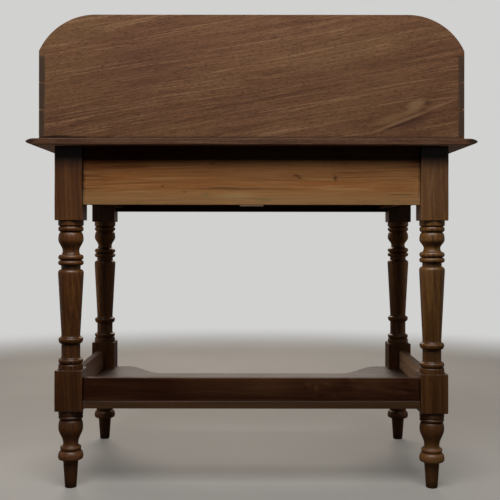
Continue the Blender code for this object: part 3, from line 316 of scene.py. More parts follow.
    uneven = reckon(tree, "MULTIPLY_ADD", narrow, GLOSS_GRAIN, clouds)
    rough = spread(tree, uneven, *GLOSS_SPAN, *look["rough"])
    for pattern, dulled in ((grime_and_shade, DIRT_DULL), (pores, PORE_DULL)):
        rough = reckon(tree, "MULTIPLY_ADD", pattern, dulled, rough)
    tree.links.new(rough, shader.inputs["Roughness"])
    shader.inputs["Specular IOR Level"].default_value = look["sheen"]
    relief = narrow
    for pattern, rise in ((fibre, FIBRE_RISE), (pores, PORE_DEPTH), (clouds, CLOUD_RISE)):
        relief = reckon(tree, "MULTIPLY_ADD", pattern, rise, relief)
    bump = {"Height": relief, "Strength": look["relief"], "Distance": RELIEF_DEPTH}
    tree.links.new(add(tree, "ShaderNodeBump", bump).outputs["Normal"], shader.inputs["Normal"])
    return made


SAME_PLACE = 1e-6  # points closer than this are one
SOFT_TURN = math.radians(32)  # edges that turn by less are shaded smooth


def skin(name, rings, wood, node, worn=None, grime_and_shade=None):
    """A closed piece from rings of points: each ring is joined to the next by four-sided faces, and the
    first and last are filled. It rides with its node's body and stands for it."""
    rows, around = rings.shape[:2]
    index = np.arange(rows * around).reshape(rows, around)
    ahead = np.roll(index, -1, axis=1)
    quads = np.stack((index[:-1], ahead[:-1], ahead[1:], index[1:]), axis=-1).reshape(-1, 4)
    mesh = bpy.data.meshes.new(name)
    faces = [*quads.tolist(), index[0].tolist(), index[-1].tolist()]
    mesh.from_pydata(rings.reshape(-1, 3).tolist(), [], faces)
    for layer, values in (("worn", worn), ("grime_and_shade", grime_and_shade)):
        if values is not None:
            values = np.broadcast_to(values, (rows, around)).astype(np.float32)
            mesh.attributes.new(layer, "FLOAT", "POINT").data.foreach_set("value", values.ravel())
    work = bmesh.new()
    work.from_mesh(mesh)
    bmesh.ops.remove_doubles(work, verts=work.verts, dist=SAME_PLACE)
    bmesh.ops.dissolve_degenerate(work, dist=SAME_PLACE, edges=work.edges)
    bmesh.ops.recalc_face_normals(work, faces=work.faces)
    work.to_mesh(mesh)
    work.free()
    mesh.shade_smooth()
    mesh.set_sharp_from_angle(angle=SOFT_TURN)
    mesh.materials.append(wood)
    piece = link_in(bpy.data.objects.new(name, mesh))
    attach(piece, frame["nodes"][node]["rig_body"])
    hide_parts(node)
    return piece


# Heights above the floor. The lower block has one for its top and one for its foot.
LEG_TOP, UPPER_BLOCK_FOOT = 0.7287, 0.572
LOWER_BLOCK = (0.2535, 0.167)
DOUBLE_RING, ANKLE_RING, FOOT_LENGTH = 0.4925, 0.0815, 0.0565

# Lengths along the leg, and how far eased edges stand in or out.
LEG_EASE, PLAIN_START, PLAIN_ROWS = 0.0006, 0.004, 12  # a block's eased ends, and the rows between them
DRUM_LENGTH, QUIRK, VASE_QUIRK, NECK_BEAD = 0.0105, 0.0024, 0.0016, 0.0112
BELLY_DROP, WAIST_RISE = 0.0150, 0.0140
DOUBLE_COVE, DOUBLE_CREST, DOUBLE_FALL, TWIN_BEAD, TWIN_QUIRK = 0.0080, 0.0060, 0.0056, 0.0110, 0.0004
COLLAR_LENGTH, SHOULDER_DROP, TAPER_RING_RISE = 0.0085, 0.0080, 0.0640
TAPER_COVE, TAPER_CREST, TAPER_FALL = 0.0052, 0.0040, 0.0095
BASE_COLLAR, BASE_QUIRK, BASE_COVE, BASE_CREST, BASE_FALL = 0.0108, 0.0014, 0.0050, 0.0035, 0.0068
BASE_EASE, BASE_ROUND, BASE_FLARE = 0.0006, 0.0008, 0.0004
ANKLE_DRUM, ANKLE_QUIRK, ANKLE_BEAD, ANKLE_DROP = 0.0185, 0.0014, 0.0074, 0.0125
ANKLE_COVE, ANKLE_CREST, ANKLE_FALL = 0.0065, 0.0032, 0.0057
FOOT_BULB, BULB_BELLY, BULB_LIP = 0.0190, 0.0062, 0.0030

# Half the width of a block, and the radii of the turnings.
LEG_HALF = 0.029
DRUM_RADIUS, BEAD_RADIUS, GROOVE_RADIUS, MOUTH_RADIUS, TWIN_GROOVE = 0.0270, 0.0267, 0.0230, 0.0220, 0.0215
WAIST_RADIUS, COLLAR_RADIUS, TAPER_RADIUS, SHANK_RADIUS = 0.0176, 0.0205, 0.0272, 0.0199
RING_RADIUS, ANKLE_WAIST, ANKLE_RING_RADIUS = 0.0261, 0.0161, 0.0222
BULB_GROOVE, PEG_TOP, PEG_TIP, PEG_EASE = 0.0195, 0.0163, 0.0122, 0.0012
RING_LIP = 0.45  # how far out a ring's hollow gives way to its swell

BLOCK_FOOT_STRAY = 1 / 2  # of its block's stray
BELLY_LAG = 2 / 3  # of the ankle bead's stray, which the belly under it doesn't follow
BEAD_POINTS, RING_POINTS, VASE_POINTS, LIP_POINTS, TAPER_ROWS, PEG_ROWS = 15, 9, 22, 7, 24, 12


def curve(centre, radii, start, stop, count=13):
    """Part of an ellipse: the centre plus each radius times the cosine and sine of a turning angle."""
    turn = np.radians(np.linspace(start, stop, count))
    return np.column_stack((centre[0] + radii[0] * np.cos(turn), centre[1] + radii[1] * np.sin(turn)))


def bead(top, foot, base, crown):
    """Half an ellipse on a turning, from its top to its foot."""
    return curve((base, (top + foot) / 2), (crown - base, (top - foot) / 2), 90, -90, BEAD_POINTS)


def vase(mouth, belly, waist, belly_radius, waist_radius):
    """A bulb: a quarter ellipse out to the belly, then half a cosine wave in to the waist."""
    swell = curve((MOUTH_RADIUS, belly), (belly_radius - MOUTH_RADIUS, mouth - belly), 90, 0)
    share = np.linspace(0, 1, VASE_POINTS)[1:]
    radius = belly_radius + (waist_radius - belly_radius) * (1 - np.cos(np.pi * share)) / 2
    return np.vstack((swell, np.column_stack((radius, belly + (waist - belly) * share))))


def turned_ring(height, heights, neck, edge, foot):
    """A ring of three quarter ellipses: a hollow sweeps out from the neck, a swell carries on to the
    edge, and a round goes in under it to the foot."""
    cove, crest, fall = heights
    lip = neck + (edge - neck) * RING_LIP
    hollow = curve((lip, height + crest + cove), (lip - neck, cove), 180, 270, RING_POINTS)
    swell = curve((lip, height), (edge - lip, crest), 90, 0, RING_POINTS)
    under = curve((foot, height), (edge - foot, fall), 0, -90, RING_POINTS)
    return np.vstack((hollow[:-1], swell[:-1], under))


def square_rows(top, foot):
    """The rows of a block: one half width at evenly spread heights, less the ease at both ends."""
    plain = np.linspace(top - PLAIN_START, foot + PLAIN_START, PLAIN_ROWS)
    heights = np.concatenate(([top, top - LEG_EASE], plain, [foot + LEG_EASE, foot]))
    widths = np.full(len(heights), LEG_HALF)
    widths[[0, -1]] -= LEG_EASE
    return np.column_stack((widths, heights))


def leg_profile(ring_shift, taper_shift, block_shift, bead_shift, foot_shift):
    """From the top down: radius or half width, height, and 1 where the section is square. The shifts say
    how far the double ring, the taper ring, the lower block, the ankle's bead and the foot stray."""
    block_top = LOWER_BLOCK[0] + block_shift
    block_foot = LOWER_BLOCK[1] + block_shift * BLOCK_FOOT_STRAY
    bead_top = UPPER_BLOCK_FOOT - DRUM_LENGTH - QUIRK
    mouth = bead_top - NECK_BEAD - VASE_QUIRK
    ring = DOUBLE_RING + ring_shift
    twin_top = ring - DOUBLE_FALL - TWIN_QUIRK
    collar_top = twin_top - TWIN_BEAD
    shoulder = collar_top - COLLAR_LENGTH
    taper_ring = block_top + TAPER_RING_RISE + taper_shift
    collar = block_top + BASE_COLLAR
    base_ring = collar + BASE_QUIRK + BASE_FALL
    drum_foot = LOWER_BLOCK[1] - ANKLE_DRUM + bead_shift
    ankle_top = drum_foot - ANKLE_QUIRK
    ankle_mouth = ankle_top - ANKLE_BEAD - VASE_QUIRK
    ankle_belly = ankle_mouth - ANKLE_DROP - bead_shift * BELLY_LAG
    ankle_ring = ANKLE_RING + foot_shift
    peg = FOOT_LENGTH + foot_shift
    bulb = peg + BULB_BELLY
    double_ring = DOUBLE_COVE, DOUBLE_CREST, DOUBLE_FALL
    taper_heights = TAPER_COVE, TAPER_CREST, TAPER_FALL
    ankle_heights = ANKLE_COVE, ANKLE_CREST, ANKLE_FALL
    shoulder_round = TAPER_RADIUS - COLLAR_RADIUS, SHOULDER_DROP
    upper = np.vstack((
        [(DRUM_RADIUS, UPPER_BLOCK_FOOT), (DRUM_RADIUS, UPPER_BLOCK_FOOT - DRUM_LENGTH)],
        bead(bead_top, bead_top - NECK_BEAD, GROOVE_RADIUS, BEAD_RADIUS),
        vase(mouth, mouth - BELLY_DROP, ring + WAIST_RISE, BEAD_RADIUS, WAIST_RADIUS),
        turned_ring(ring, double_ring, WAIST_RADIUS, BEAD_RADIUS, TWIN_GROOVE),
        bead(twin_top, collar_top, TWIN_GROOVE, DRUM_RADIUS),
        [(COLLAR_RADIUS, collar_top - TWIN_QUIRK)],
        curve((COLLAR_RADIUS, shoulder - SHOULDER_DROP), shoulder_round, 90, 0),
    ))
    taper_foot = SHANK_RADIUS, taper_ring + TAPER_CREST + TAPER_COVE
    taper = np.linspace(upper[-1], taper_foot, TAPER_ROWS)[1:-1]
    middle = np.vstack((
        turned_ring(taper_ring, taper_heights, SHANK_RADIUS, RING_RADIUS, SHANK_RADIUS),
        turned_ring(base_ring, (BASE_COVE, BASE_CREST, BASE_FALL), SHANK_RADIUS, RING_RADIUS, GROOVE_RADIUS),
        [(GROOVE_RADIUS, collar + BASE_EASE), (RING_RADIUS - BASE_EASE, collar)],
        [(RING_RADIUS, collar - BASE_ROUND), (RING_RADIUS + BASE_FLARE, block_top)],
    ))
    lower = np.vstack((
        [(RING_RADIUS, block_foot), (RING_RADIUS, drum_foot)],
        bead(ankle_top, ankle_top - ANKLE_BEAD, GROOVE_RADIUS, RING_RADIUS),
        vase(ankle_mouth, ankle_belly, ankle_ring + ANKLE_CREST + ANKLE_COVE, RING_RADIUS, ANKLE_WAIST),
        turned_ring(ankle_ring, ankle_heights, ANKLE_WAIST, ANKLE_RING_RADIUS, BULB_GROOVE),
        curve((BULB_GROOVE, bulb), (BEAD_RADIUS - BULB_GROOVE, FOOT_BULB - BULB_BELLY), 90, 0),
        curve((BEAD_RADIUS - BULB_LIP, bulb), (BULB_LIP, BULB_BELLY), -6, -84, LIP_POINTS),
        np.linspace((PEG_TOP, peg), (PEG_TIP, PEG_EASE), PEG_ROWS),
        [(PEG_TIP - PEG_EASE, 0)],
    ))
    parts = (square_rows(LEG_TOP, UPPER_BLOCK_FOOT), 1), (np.vstack((upper, taper, middle)), 0)
    parts += (square_rows(block_top, block_foot), 1), (lower, 0)
    return np.vstack([np.column_stack((rows, np.full(len(rows), square))) for rows, square in parts])


FACE_POINTS, CORNER_CROWDING = 28, 1.7  # points on a quarter of a row, drawn towards its corner
SQUARE_POWER, POWER_STRAY, STRAY_DOWN, STRAY_ASIDE = 52, 14, 61, 40  # how square a block is
WEAR_STEP, WEAR_STEPS = 0.00025, 37  # the length that a turned row is measured against
PROUD_WORN, MOST_WORN, HOLLOW_DIRTY, MOST_DIRTY, CORNER_WORN = 0.0022, 0.8, 0.006, 0.6, 0.10


def turned_leg(node, shifts, wood):
    """A grid of rows down the leg and angles round it. A block's row is a squircle, |x|^p + |y|^p = h^p,
    whose high power leaves softly rounded corners. A turned row is a circle. What stands out from the
    mean radius round about is worn, and what lies under it is dirty."""
    low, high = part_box(node)
    rows = leg_profile(*shifts)
    square = rows[:, 2:] > 0.5
    across = np.linspace(-1, 1, FACE_POINTS + 1)[:-1]
    quarter = np.pi / 4 * (1 + np.sign(across) * np.abs(across) ** CORNER_CROWDING)
    angle = np.concatenate([quarter + turn * np.pi / 2 for turn in range(4)])
    cosine, sine = np.cos(angle), np.sin(angle)
    power = SQUARE_POWER + POWER_STRAY * np.sin(rows[:, 1:2] * STRAY_DOWN + low.x * STRAY_ASIDE)
    squircle = (np.abs(cosine) ** power + np.abs(sine) ** power) ** (-1 / power)
    radius = rows[:, :1] * np.where(square, squircle, 1.0)
    centre = (low + high) / 2
    rings = np.empty((*radius.shape, 3))
    rings[..., 0] = centre.x + radius * cosine
    rings[..., 1] = centre.y + radius * sine
    rings[..., 2] = rows[:, 1:2]
    levels = np.arange(0, LEG_TOP, WEAR_STEP)
    plain = np.interp(levels, rows[::-1, 1], rows[::-1, 0])
    window = np.ones(WEAR_STEPS) / WEAR_STEPS
    smooth = np.convolve(np.pad(plain, WEAR_STEPS // 2, mode="edge"), window, mode="valid")
    proud = (rows[:, 0] - np.interp(rows[:, 1], levels, smooth))[:, None] * ~square
    corner = np.clip(1 - np.abs(np.abs(cosine) - np.abs(sine)) / CORNER_WORN, 0, 1)
    worn = np.where(square, corner, np.clip(proud / PROUD_WORN, 0, MOST_WORN))
    grime_and_shade = np.clip(-proud / HOLLOW_DIRTY, 0, MOST_DIRTY)
    return skin(f"{node}_turning", rings, wood, node, worn, grime_and_shade)


TURNED = {
    "dark": (59, 32, 12), "mid": (83, 49, 20), "light": (105, 67, 31), "pore": (34, 18, 8),
    "stained": (62, 36, 18), "bare": (124, 86, 52), "grime_and_shade_tone": (22, 12, 6), "end_tone": (46, 27, 15),
    "ring": 0.0085, "rings": 0.30,
    "broad": 1.3, "narrow": 1.2, "fibre": 0.8, "flecks": 0.35, "pores": 0.5, "wander": 0.022, "stain": 0.35,
    "end": 0.55, "worn": 0.45, "rough": (0.27, 0.41), "sheen": 0.34, "relief": 0.30,
    "fade": 0.25, "faded": (90, 54, 23), "lines": 0.4,
}
PALER_TURNED = {**TURNED, "dark": (67, 41, 15), "mid": (94, 62, 27), "light": (117, 81, 41),
                "faded": (98, 65, 29), "ring": 0.012, "rings": 0.4}
# The front legs' mahogany is lighter than the rear legs': painted light for the shade that they stand in.
FRONT_TURNED = {**TURNED, "dark": (70, 39, 14), "mid": (99, 60, 24), "light": (123, 79, 36)}
SHADOW = (0.714, 0.682, 1, (108, 92, 86), "MULTIPLY")  # painted shadow under the top
DARK_PEG = (0.040, 0.064, 0.62, (40, 20, 9), "MIX")
DIRTY_TIP = (0.006, 0.018, 0.6, (17, 10, 5), "MIX")
SHADE_AND_DIRT_BANDS = (  # an evener upper block, the painted shadow under the top, painted shade darkening towards the floor, lifted again on the feet, a dark peg and a dirty tip
    (0.60, 0.565, 0.40, (68, 39, 20), "MIX"), SHADOW, (0.16, 0.40, 1, (186, 172, 158), "MULTIPLY"),
    (0.06, 0.16, 0.60, (95, 61, 35), "MIX"), DARK_PEG, DIRTY_TIP)
PALER_SHADE_AND_DIRT_BANDS = (
    (0.60, 0.565, 0.40, (88, 59, 42), "MIX"), SHADOW, (0.16, 0.40, 1, (186, 168, 160), "MULTIPLY"),
    (0.06, 0.15, 0.7, (106, 71, 37), "MIX"), DARK_PEG, DIRTY_TIP)
LEGS = {  # how its parts stray, the heart of the wood, its look, and its bands of tone, painted shade and dirt
    "rear_left_leg": ((0.0065, -0.0040, -0.0075, 0.0025, 0), (-0.362, 0.262, 0.4),
                      PALER_TURNED, PALER_SHADE_AND_DIRT_BANDS),
    "rear_right_leg": ((0, 0, 0, 0.0075, 0.0042), (0.455, 0.205, 0.4), TURNED, SHADE_AND_DIRT_BANDS),
    "front_left_leg": ((0.0055, 0.0020, 0, 0, 0), (-0.35, -0.28, 0.4), FRONT_TURNED, SHADE_AND_DIRT_BANDS),
    "front_right_leg": ((0.0030, -0.0050, 0.0025, 0, 0), (0.44, -0.17, 0.4), FRONT_TURNED, SHADE_AND_DIRT_BANDS),
}
BLOCK_FIGURE = {"rear_left_leg": (  # two pale streaks and a dark one
    (-0.381, 0.655, 0.0055, 0.060, -9, 0.45, (122, 89, 57)),
    (-0.397, 0.640, 0.0060, 0.045, -16, 0.40, (62, 38, 19)),
    (-0.408, 0.690, 0.0050, 0.040, 6, 0.35, (112, 78, 47)))}
LEG_TILT = (0, 2.5, 1.5)
for node, (shifts, pith, look, shade_and_dirt) in LEGS.items():
    wood = timber(f"mahogany_of_{node}", "Z", pith, look, LEG_TILT, shade_and_dirt, BLOCK_FIGURE.get(node, ()))
    turned_leg(node, shifts, wood)


# The frieze. A plain pine rail across the back and mahogany rails at the sides are tenoned into the
# leg blocks. Two rails and a divider at the front make the drawer openings.

BEND = np.array((0, 0.33, 0.67, 1))  # where the points of a rounded corner lie
BEND_WEAR = np.array((0, 1, 1, 1, 1, 0.0))  # a plain point, the bend, and a plain point
BEND_POINTS = np.arange(len(BEND_WEAR))
SHARP = 0.9  # the cosine of about 25 degrees
EASE_LEFT = 1 / 9  # of a corner's ease, at the least, where its outline is drawn in


def soften(corners, sharp, ease, rim):
    """Rounds each sharp corner P of a closed outline by (1-s)^2 A + 2s(1-s) P + s^2 B, between points A
    and B on its two edges, with a plain point further along each edge."""
    back, ahead = np.roll(corners, 1, axis=0) - corners, np.roll(corners, -1, axis=0) - corners
    back /= np.linalg.norm(back, axis=1, keepdims=True)
    ahead /= np.linalg.norm(ahead, axis=1, keepdims=True)
    share = BEND[None, :, None]
    start, middle, stop = ((corners + move)[:, None] for move in (back * ease, 0, ahead * ease))
    bend = (1 - share) ** 2 * start + 2 * share * (1 - share) * middle + share**2 * stop
    reach = ease + rim
    points = np.concatenate((middle + back[:, None] * reach, bend, middle + ahead[:, None] * reach), axis=1)
    points[~sharp, 0] = corners[~sharp]
    return points[sharp[:, None] | (BEND_POINTS == 0)]


def sharp_corners(corners):
    """Which points of a closed outline turn sharply: where the dot product of the two edges' directions is
    less than the cosine of the turn."""
    edge = np.roll(corners, -1, axis=0) - corners
    edge /= np.linalg.norm(edge, axis=1, keepdims=True)
    return (edge * np.roll(edge, 1, axis=0)).sum(axis=1) < SHARP


def inset(points, by):
    """A closed outline drawn in: each point moves along the sum of its two edges' inward normals,
    over one plus their dot product."""
    edge = np.roll(points, -1, axis=0) - points
    inward = np.column_stack((-edge[:, 1], edge[:, 0])) / np.linalg.norm(edge, axis=1, keepdims=True)
    before = np.roll(inward, 1, axis=0)
    mitre = (inward + before) / (1 + (inward * before).sum(axis=1, keepdims=True))
    area = (points[:, 0] * np.roll(points[:, 1], -1) - points[:, 1] * np.roll(points[:, 0], -1)).sum()
    return points + np.sign(area) * by * mitre


def arris(ease, rim):
    """A quarter round at the edge of a face, as how far in, how deep and how worn each of its rings is."""
    turn = np.linspace(0, np.pi / 2, len(BEND))
    drawn_in = np.concatenate(([ease + rim], ease * (1 - np.sin(turn)), [0]))
    deep = np.concatenate(([0], ease * (1 - np.cos(turn)), [ease + rim]))
    return drawn_in, deep, BEND_WEAR


def stand(flat, level, axes):
    """Outlines in a plane, with the level of each along the third axis."""
    rings = np.empty((*flat.shape[:2], 3))
    rings[..., axes[0]], rings[..., axes[1]] = flat[..., 0], flat[..., 1]
    rings[..., axes[2]] = np.asarray(level)[:, None]
    return rings


FLAT, UPRIGHT, ENDWISE = (0, 1, 2), (0, 2, 1), (1, 2, 0)  # which axes an outline's two directions follow


def board(node, corners, low, high, axes, wood, ease=0.0007, rim=0.0018):
    """A board: its outline is carried from one face to the other, with every edge eased by hand."""
    corners = np.asarray(corners, float)
    sharp = sharp_corners(corners)
    drawn_in, deep, edge = arris(ease, rim)
    levels = np.concatenate((low + deep, (high - deep)[::-1]))
    insets, edge = np.concatenate((drawn_in, drawn_in[::-1])), np.concatenate((edge, edge[::-1]))
    eases = np.maximum(ease - insets, ease * EASE_LEFT)
    flat = np.stack([soften(inset(corners, by), sharp, left, rim) for by, left in zip(insets, eases)])
    wear = np.where(sharp[:, None], BEND_WEAR, 0)[sharp[:, None] | (BEND_POINTS == 0)]
    return skin(f"{node}_board", stand(flat, levels, axes), wood, node, np.maximum(edge[:, None], wear[None]))


def rectangle(low_a, high_a, low_b, high_b):
    """Four corners, from the lowest along the first direction and then up the second."""
    return [(low_a, low_b), (high_a, low_b), (high_a, high_b), (low_a, high_b)]


GLUE = 0.0003  # the gap left for it in a joint
LEG_INNER_X, LEG_INNER_Y = 0.3585, 0.181
between_x, between_y = LEG_INNER_X - GLUE, LEG_INNER_Y - GLUE

PINE = {
    "dark": (93, 54, 24), "mid": (120, 77, 40), "light": (140, 97, 57), "pore": (92, 56, 28),
    "stained": (118, 74, 36), "bare": (150, 114, 74), "grime_and_shade_tone": (48, 28, 14), "end_tone": (96, 64, 36),
    "ring": 0.0105, "rings": 0.25,
    "broad": 1.2, "narrow": 1.7, "fibre": 1.9, "flecks": 0.20, "pores": 0.15, "wander": 0.02, "stain": 0.5,
    "end": 0.5, "worn": 0.35, "rough": (0.50, 0.66), "sheen": 0.1, "relief": 0.35,
    "fade": 0.45, "faded": (132, 82, 38), "lines": 0.7,
}
DARK_RAIL = {**TURNED, "dark": (30, 12, 6), "mid": (42, 20, 10), "light": (58, 31, 17), "bare": (104, 70, 44),
             "stained": (40, 22, 13), "faded": (46, 24, 13), "lines": 0.12, "sheen": 0.06}
WEATHERED_AND_SHADED = (  # rubbed below; darker and browner under the top, as painted shade
    (0.622, 0.642, 0.32, (140, 117, 80), "MIX"), (0.700, 0.668, 1, (170, 140, 92), "MULTIPLY"))
KNOTS = (  # place, size and lean
    (-0.0958, 0.6667, 0.9, -8), (-0.1018, 0.6623, 0.55, -8), (-0.1777, 0.6610, 0.9, 96),
    (-0.1775, 0.6631, 0.6, 20), (-0.154, 0.6950, 0.8, 0), (0.142, 0.6320, 0.7, 0),
    (0.1887, 0.6445, 0.5, 10), (0.0827, 0.6920, 0.6, 0))
RINGS_AND_HEART = ((0.014, 0.0070, 0.35, (88, 46, 18)), (0.0080, 0.0028, 0.90, (50, 19, 4)))
STAINS_AND_CORNER_SHADE = [(x, z, long * size, wide * size, lean, amount, tone)
          for x, z, size, lean in KNOTS for long, wide, amount, tone in RINGS_AND_HEART]
RAIL_END = between_x + 0.001
STAINS_AND_CORNER_SHADE += [  # painted shade in the corners beside the legs, with some dirt
    (side * RAIL_END, 0.667, 0.0070, 0.25, 0, 0.85, (34, 19, 9)) for side in (-1, 1)]
STAINS_AND_CORNER_SHADE += [  # long stains and scrapes along the rail
    (0.0615, 0.6417, 0.042, 0.0024, 0, 0.70, (74, 45, 22)),
    (-0.317, 0.6271, 0.036, 0.0018, -1.5, 0.80, (58, 36, 18)),
    (0.0965, 0.6284, 0.020, 0.0080, 5, 0.55, (94, 72, 44)),
    (-0.0286, 0.6150, 0.030, 0.0050, 0, 0.60, (88, 68, 44)),
    (0.0350, 0.6260, 0.058, 0.0090, 1, 0.50, (148, 121, 82)),
    (-0.156, 0.6510, 0.130, 0.0055, 0, 0.45, (128, 70, 28)),
    (0.2680, 0.6720, 0.070, 0.0200, 2, 0.30, (142, 92, 44)),
    (-0.306, 0.6850, 0.045, 0.0055, 3, 0.40, (88, 54, 25)),
    (-0.200, 0.6380, 0.080, 0.0040, -1, 0.40, (150, 112, 70)),
    (0.240, 0.6330, 0.060, 0.0030, 1, 0.45, (148, 112, 72)),
    (0.0140, 0.6390, 0.170, 0.0023, 0, 0.85, (74, 46, 22)),
    (-0.305, 0.6140, 0.016, 0.0020, 4, 0.55, (84, 54, 30)),
]

low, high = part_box("back_rail")
rail = rectangle(-between_x, between_x, low.z, high.z)
board("back_rail", rail, low.y, high.y, UPRIGHT,
      timber("aged_pine_of_back_rail", "X", (0.3, 0.10, 0.53), PINE, (0, 0.6, 0), WEATHERED_AND_SHADED, STAINS_AND_CORNER_SHADE))
for side in ("left", "right"):
    node = f"{side}_side_rail"
    low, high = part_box(node)
    rail = rectangle(-between_y, between_y, low.z, high.z)
    rail_wood = timber(f"mahogany_of_{node}", "Y", (0.9 * low.x, 0, 0.52), DARK_RAIL)
    board(node, rail, low.x, high.x, ENDWISE, rail_wood)
front_wood = timber("mahogany_of_front_rails", "X", (0.1, -0.15, 0.49), DARK_RAIL)
for node in ("front_top_rail", "front_drawer_rail"):
    low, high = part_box(node)
    board(node, rectangle(-between_x, between_x, low.z, high.z), low.y, high.y, UPRIGHT, front_wood)
low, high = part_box("drawer_divider")
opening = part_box("front_drawer_rail")[1].z + GLUE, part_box("front_top_rail")[0].z - GLUE
board("drawer_divider", rectangle(low.x, high.x, *opening), low.y, high.y, UPRIGHT,
      timber("mahogany_of_divider", "Z", (0.07, -0.3, 0.6), DARK_RAIL))


# Runners, guides, kickers and stops. Bare pine strips inside the frieze, rubbed by the drawers, and small
# hardwood blocks that the drawer fronts close against. They show when a drawer is drawn out. The end of
# the centre runner also shows at the back, where it is housed under the pine rail.

# Dark throughout and near black underneath, as painted shade; the end face keeps a pale tone.
SHADED_RUNNER_PINE = {
    **PINE, "dark": (36, 22, 12), "mid": (52, 34, 20), "light": (70, 48, 30), "stained": (40, 25, 14),
    "faded": (58, 38, 21), "bare": (96, 70, 46), "end_tone": (116, 98, 84), "underside_tone": (8, 5, 3),
    "end": 0.85, "ring": 0.006, "sheen": 0.0,
}


def refinish(node, wood):
    """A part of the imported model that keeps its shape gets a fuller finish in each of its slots."""
    for slot in frame["nodes"][node].material_slots:
        slot.material = wood


shaded_runner_wood = timber("shaded_pine_of_runners", "Y", (0.05, 0, 0.55), SHADED_RUNNER_PINE)
for place in ("left", "centre", "right"):
    for strip in ("runner", "guide", "kicker"):
        refinish(f"{place}_{strip}", shaded_runner_wood)
low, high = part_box("centre_runner")
rail_low, rail_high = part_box("back_rail")
near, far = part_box("front_drawer_rail")[1].y + GLUE, rail_high.y - GLUE
housing = rail_low - Vector((0, GLUE, GLUE))
outline = [(near, low.z), (far, low.z), (far, housing.z),
           (housing.y, housing.z), (housing.y, high.z), (near, high.z)]
board("centre_runner", outline, low.x, high.x, ENDWISE, shaded_runner_wood)
stop_wood = timber("mahogany_of_stops", "X", (0, -0.3, 0.5), DARK_RAIL)
for node in [f"{side}_drawer_stop_{letter}" for side in ("left", "right") for letter in "ab"]:
    refinish(node, stop_wood)


# The drawers. Mahogany fronts are lap dovetailed to thin pine sides. The back is dovetailed between the
# sides, the bottom slides in under it, and two turned knobs are glued into each front.

TAIL_SLOPE = 1 / 7
PIN_WIDTH, HALF_PIN = 0.003, 0.004
NOTCH_MARK = 0.0005  # how far in the corners of a hidden notch's mark are drawn


def tail_spans(low, high, count):
    """Where each tail starts and ends at its wide end, between two half pins. From one tail to the next
    is the height less the half pins, plus a pin, over the count."""
    pitch = (high - low - 2 * HALF_PIN + PIN_WIDTH) / count
    starts = low + HALF_PIN + pitch * np.arange(count)
    return np.column_stack((starts, starts + pitch - PIN_WIDTH))


def tail_edge(end, root, spans):
    """A row of tails, going up: each is wide at its end and narrower at its root, by its length times the
    slope on either side."""
    draw = abs(end - root) * TAIL_SLOPE
    return [point for low, high in spans
            for point in ((root, low + draw), (end, low), (end, high), (root, high - draw))]


def notched(side, half, depth, spans, draw, cut):
    """One end of a board that takes such tails, going up: a notch for each, or its marks where cut is 0."""
    points = []
    for low, high in spans:
        low, high = low + draw - GLUE, high - draw + GLUE
        deep = half - depth * cut
        inner = (low, high) if cut else (low + NOTCH_MARK, high - NOTCH_MARK)
        points += [(half, low), (deep, inner[0]), (deep, inner[1]), (half, high)]
    points = np.array(points)
    points[:, 0] *= side
    return points if side > 0 else points[::-1]


def pin_board(node, shape, half, middle, depth, spans, faces, wide, lap, wood, ease=0.0005, rim=0.0006):
    """A board whose ends are cut to fine pins. The outline is carried through the thickness, and the
    notches widen towards the face where the tails end. Behind a lap they start part of the way in."""
    near, far = faces
    drawn_in, deep, edge = arris(ease, rim)
    levels = np.concatenate((near + deep, [near + lap, near + lap], (far - deep)[::-1]))
    insets = np.concatenate((drawn_in, [0, 0], drawn_in[::-1]))
    edge = np.concatenate((edge, [0, 0], edge[::-1]))
    cut = np.ones(len(levels))
    if lap:
        cut[: len(deep) + 1] = 0
    rings = []
    for level, by, notch in zip(levels, insets, cut):
        draw = abs(level - wide) * TAIL_SLOPE if notch else abs(near + lap - wide) * TAIL_SLOPE
        ends = [notched(side, half, depth, spans, draw, notch) for side in (1, -1)]
        parts = shape[0], ends[0], shape[1], ends[1]
        rings.append(inset(np.vstack(parts), by))
    flat = np.stack(rings)
    flat[..., 0] += middle
    rubbed = np.repeat((1, 0, 1, 0), [len(part) for part in parts])
    return skin(f"{node}_board", stand(flat, levels, UPRIGHT), wood, node, edge[:, None] * rubbed)


DRAWER_HALF, DRAWER_HEIGHT, DRAWER_LENGTH = 0.17325, 0.0887, 0.425
FRONT_THICKNESS, SIDE_THICKNESS, BACK_THICKNESS, LAP = 0.020, 0.009, 0.009, 0.007
SIDE_DROP, BACK_DROP, BACK_FOOT = 0.003, 0.010, 0.0169
FRONT_LOOK = {**TURNED, "dark": (64, 36, 20), "mid": (90, 56, 33), "light": (114, 76, 47),
              "broad": 1.4, "rings": 0.4}
SIDE_PINE = {**PINE, "dark": (116, 80, 47), "mid": (154, 113, 72), "light": (178, 139, 95),
             "stained": (140, 100, 60), "faded": (162, 120, 76), "ring": 0.006, "sheen": 0.03}

KNOB_RADIUS, KNOB_CROWN, KNOB_BELLY, KNOB_NECK, KNOB_BASE = 0.019, 0.0115, 0.0080, 0.0070, 0.0030
KNOB_NECK_RADIUS, KNOB_BASE_RADIUS, SPIGOT_RADIUS = 0.0095, 0.0135, 0.006
KNOB_COVE, KNOB_BEAD, KNOB_GRIME = 0.003, 0.0012, 0.006
KNOB_SIDES = 48


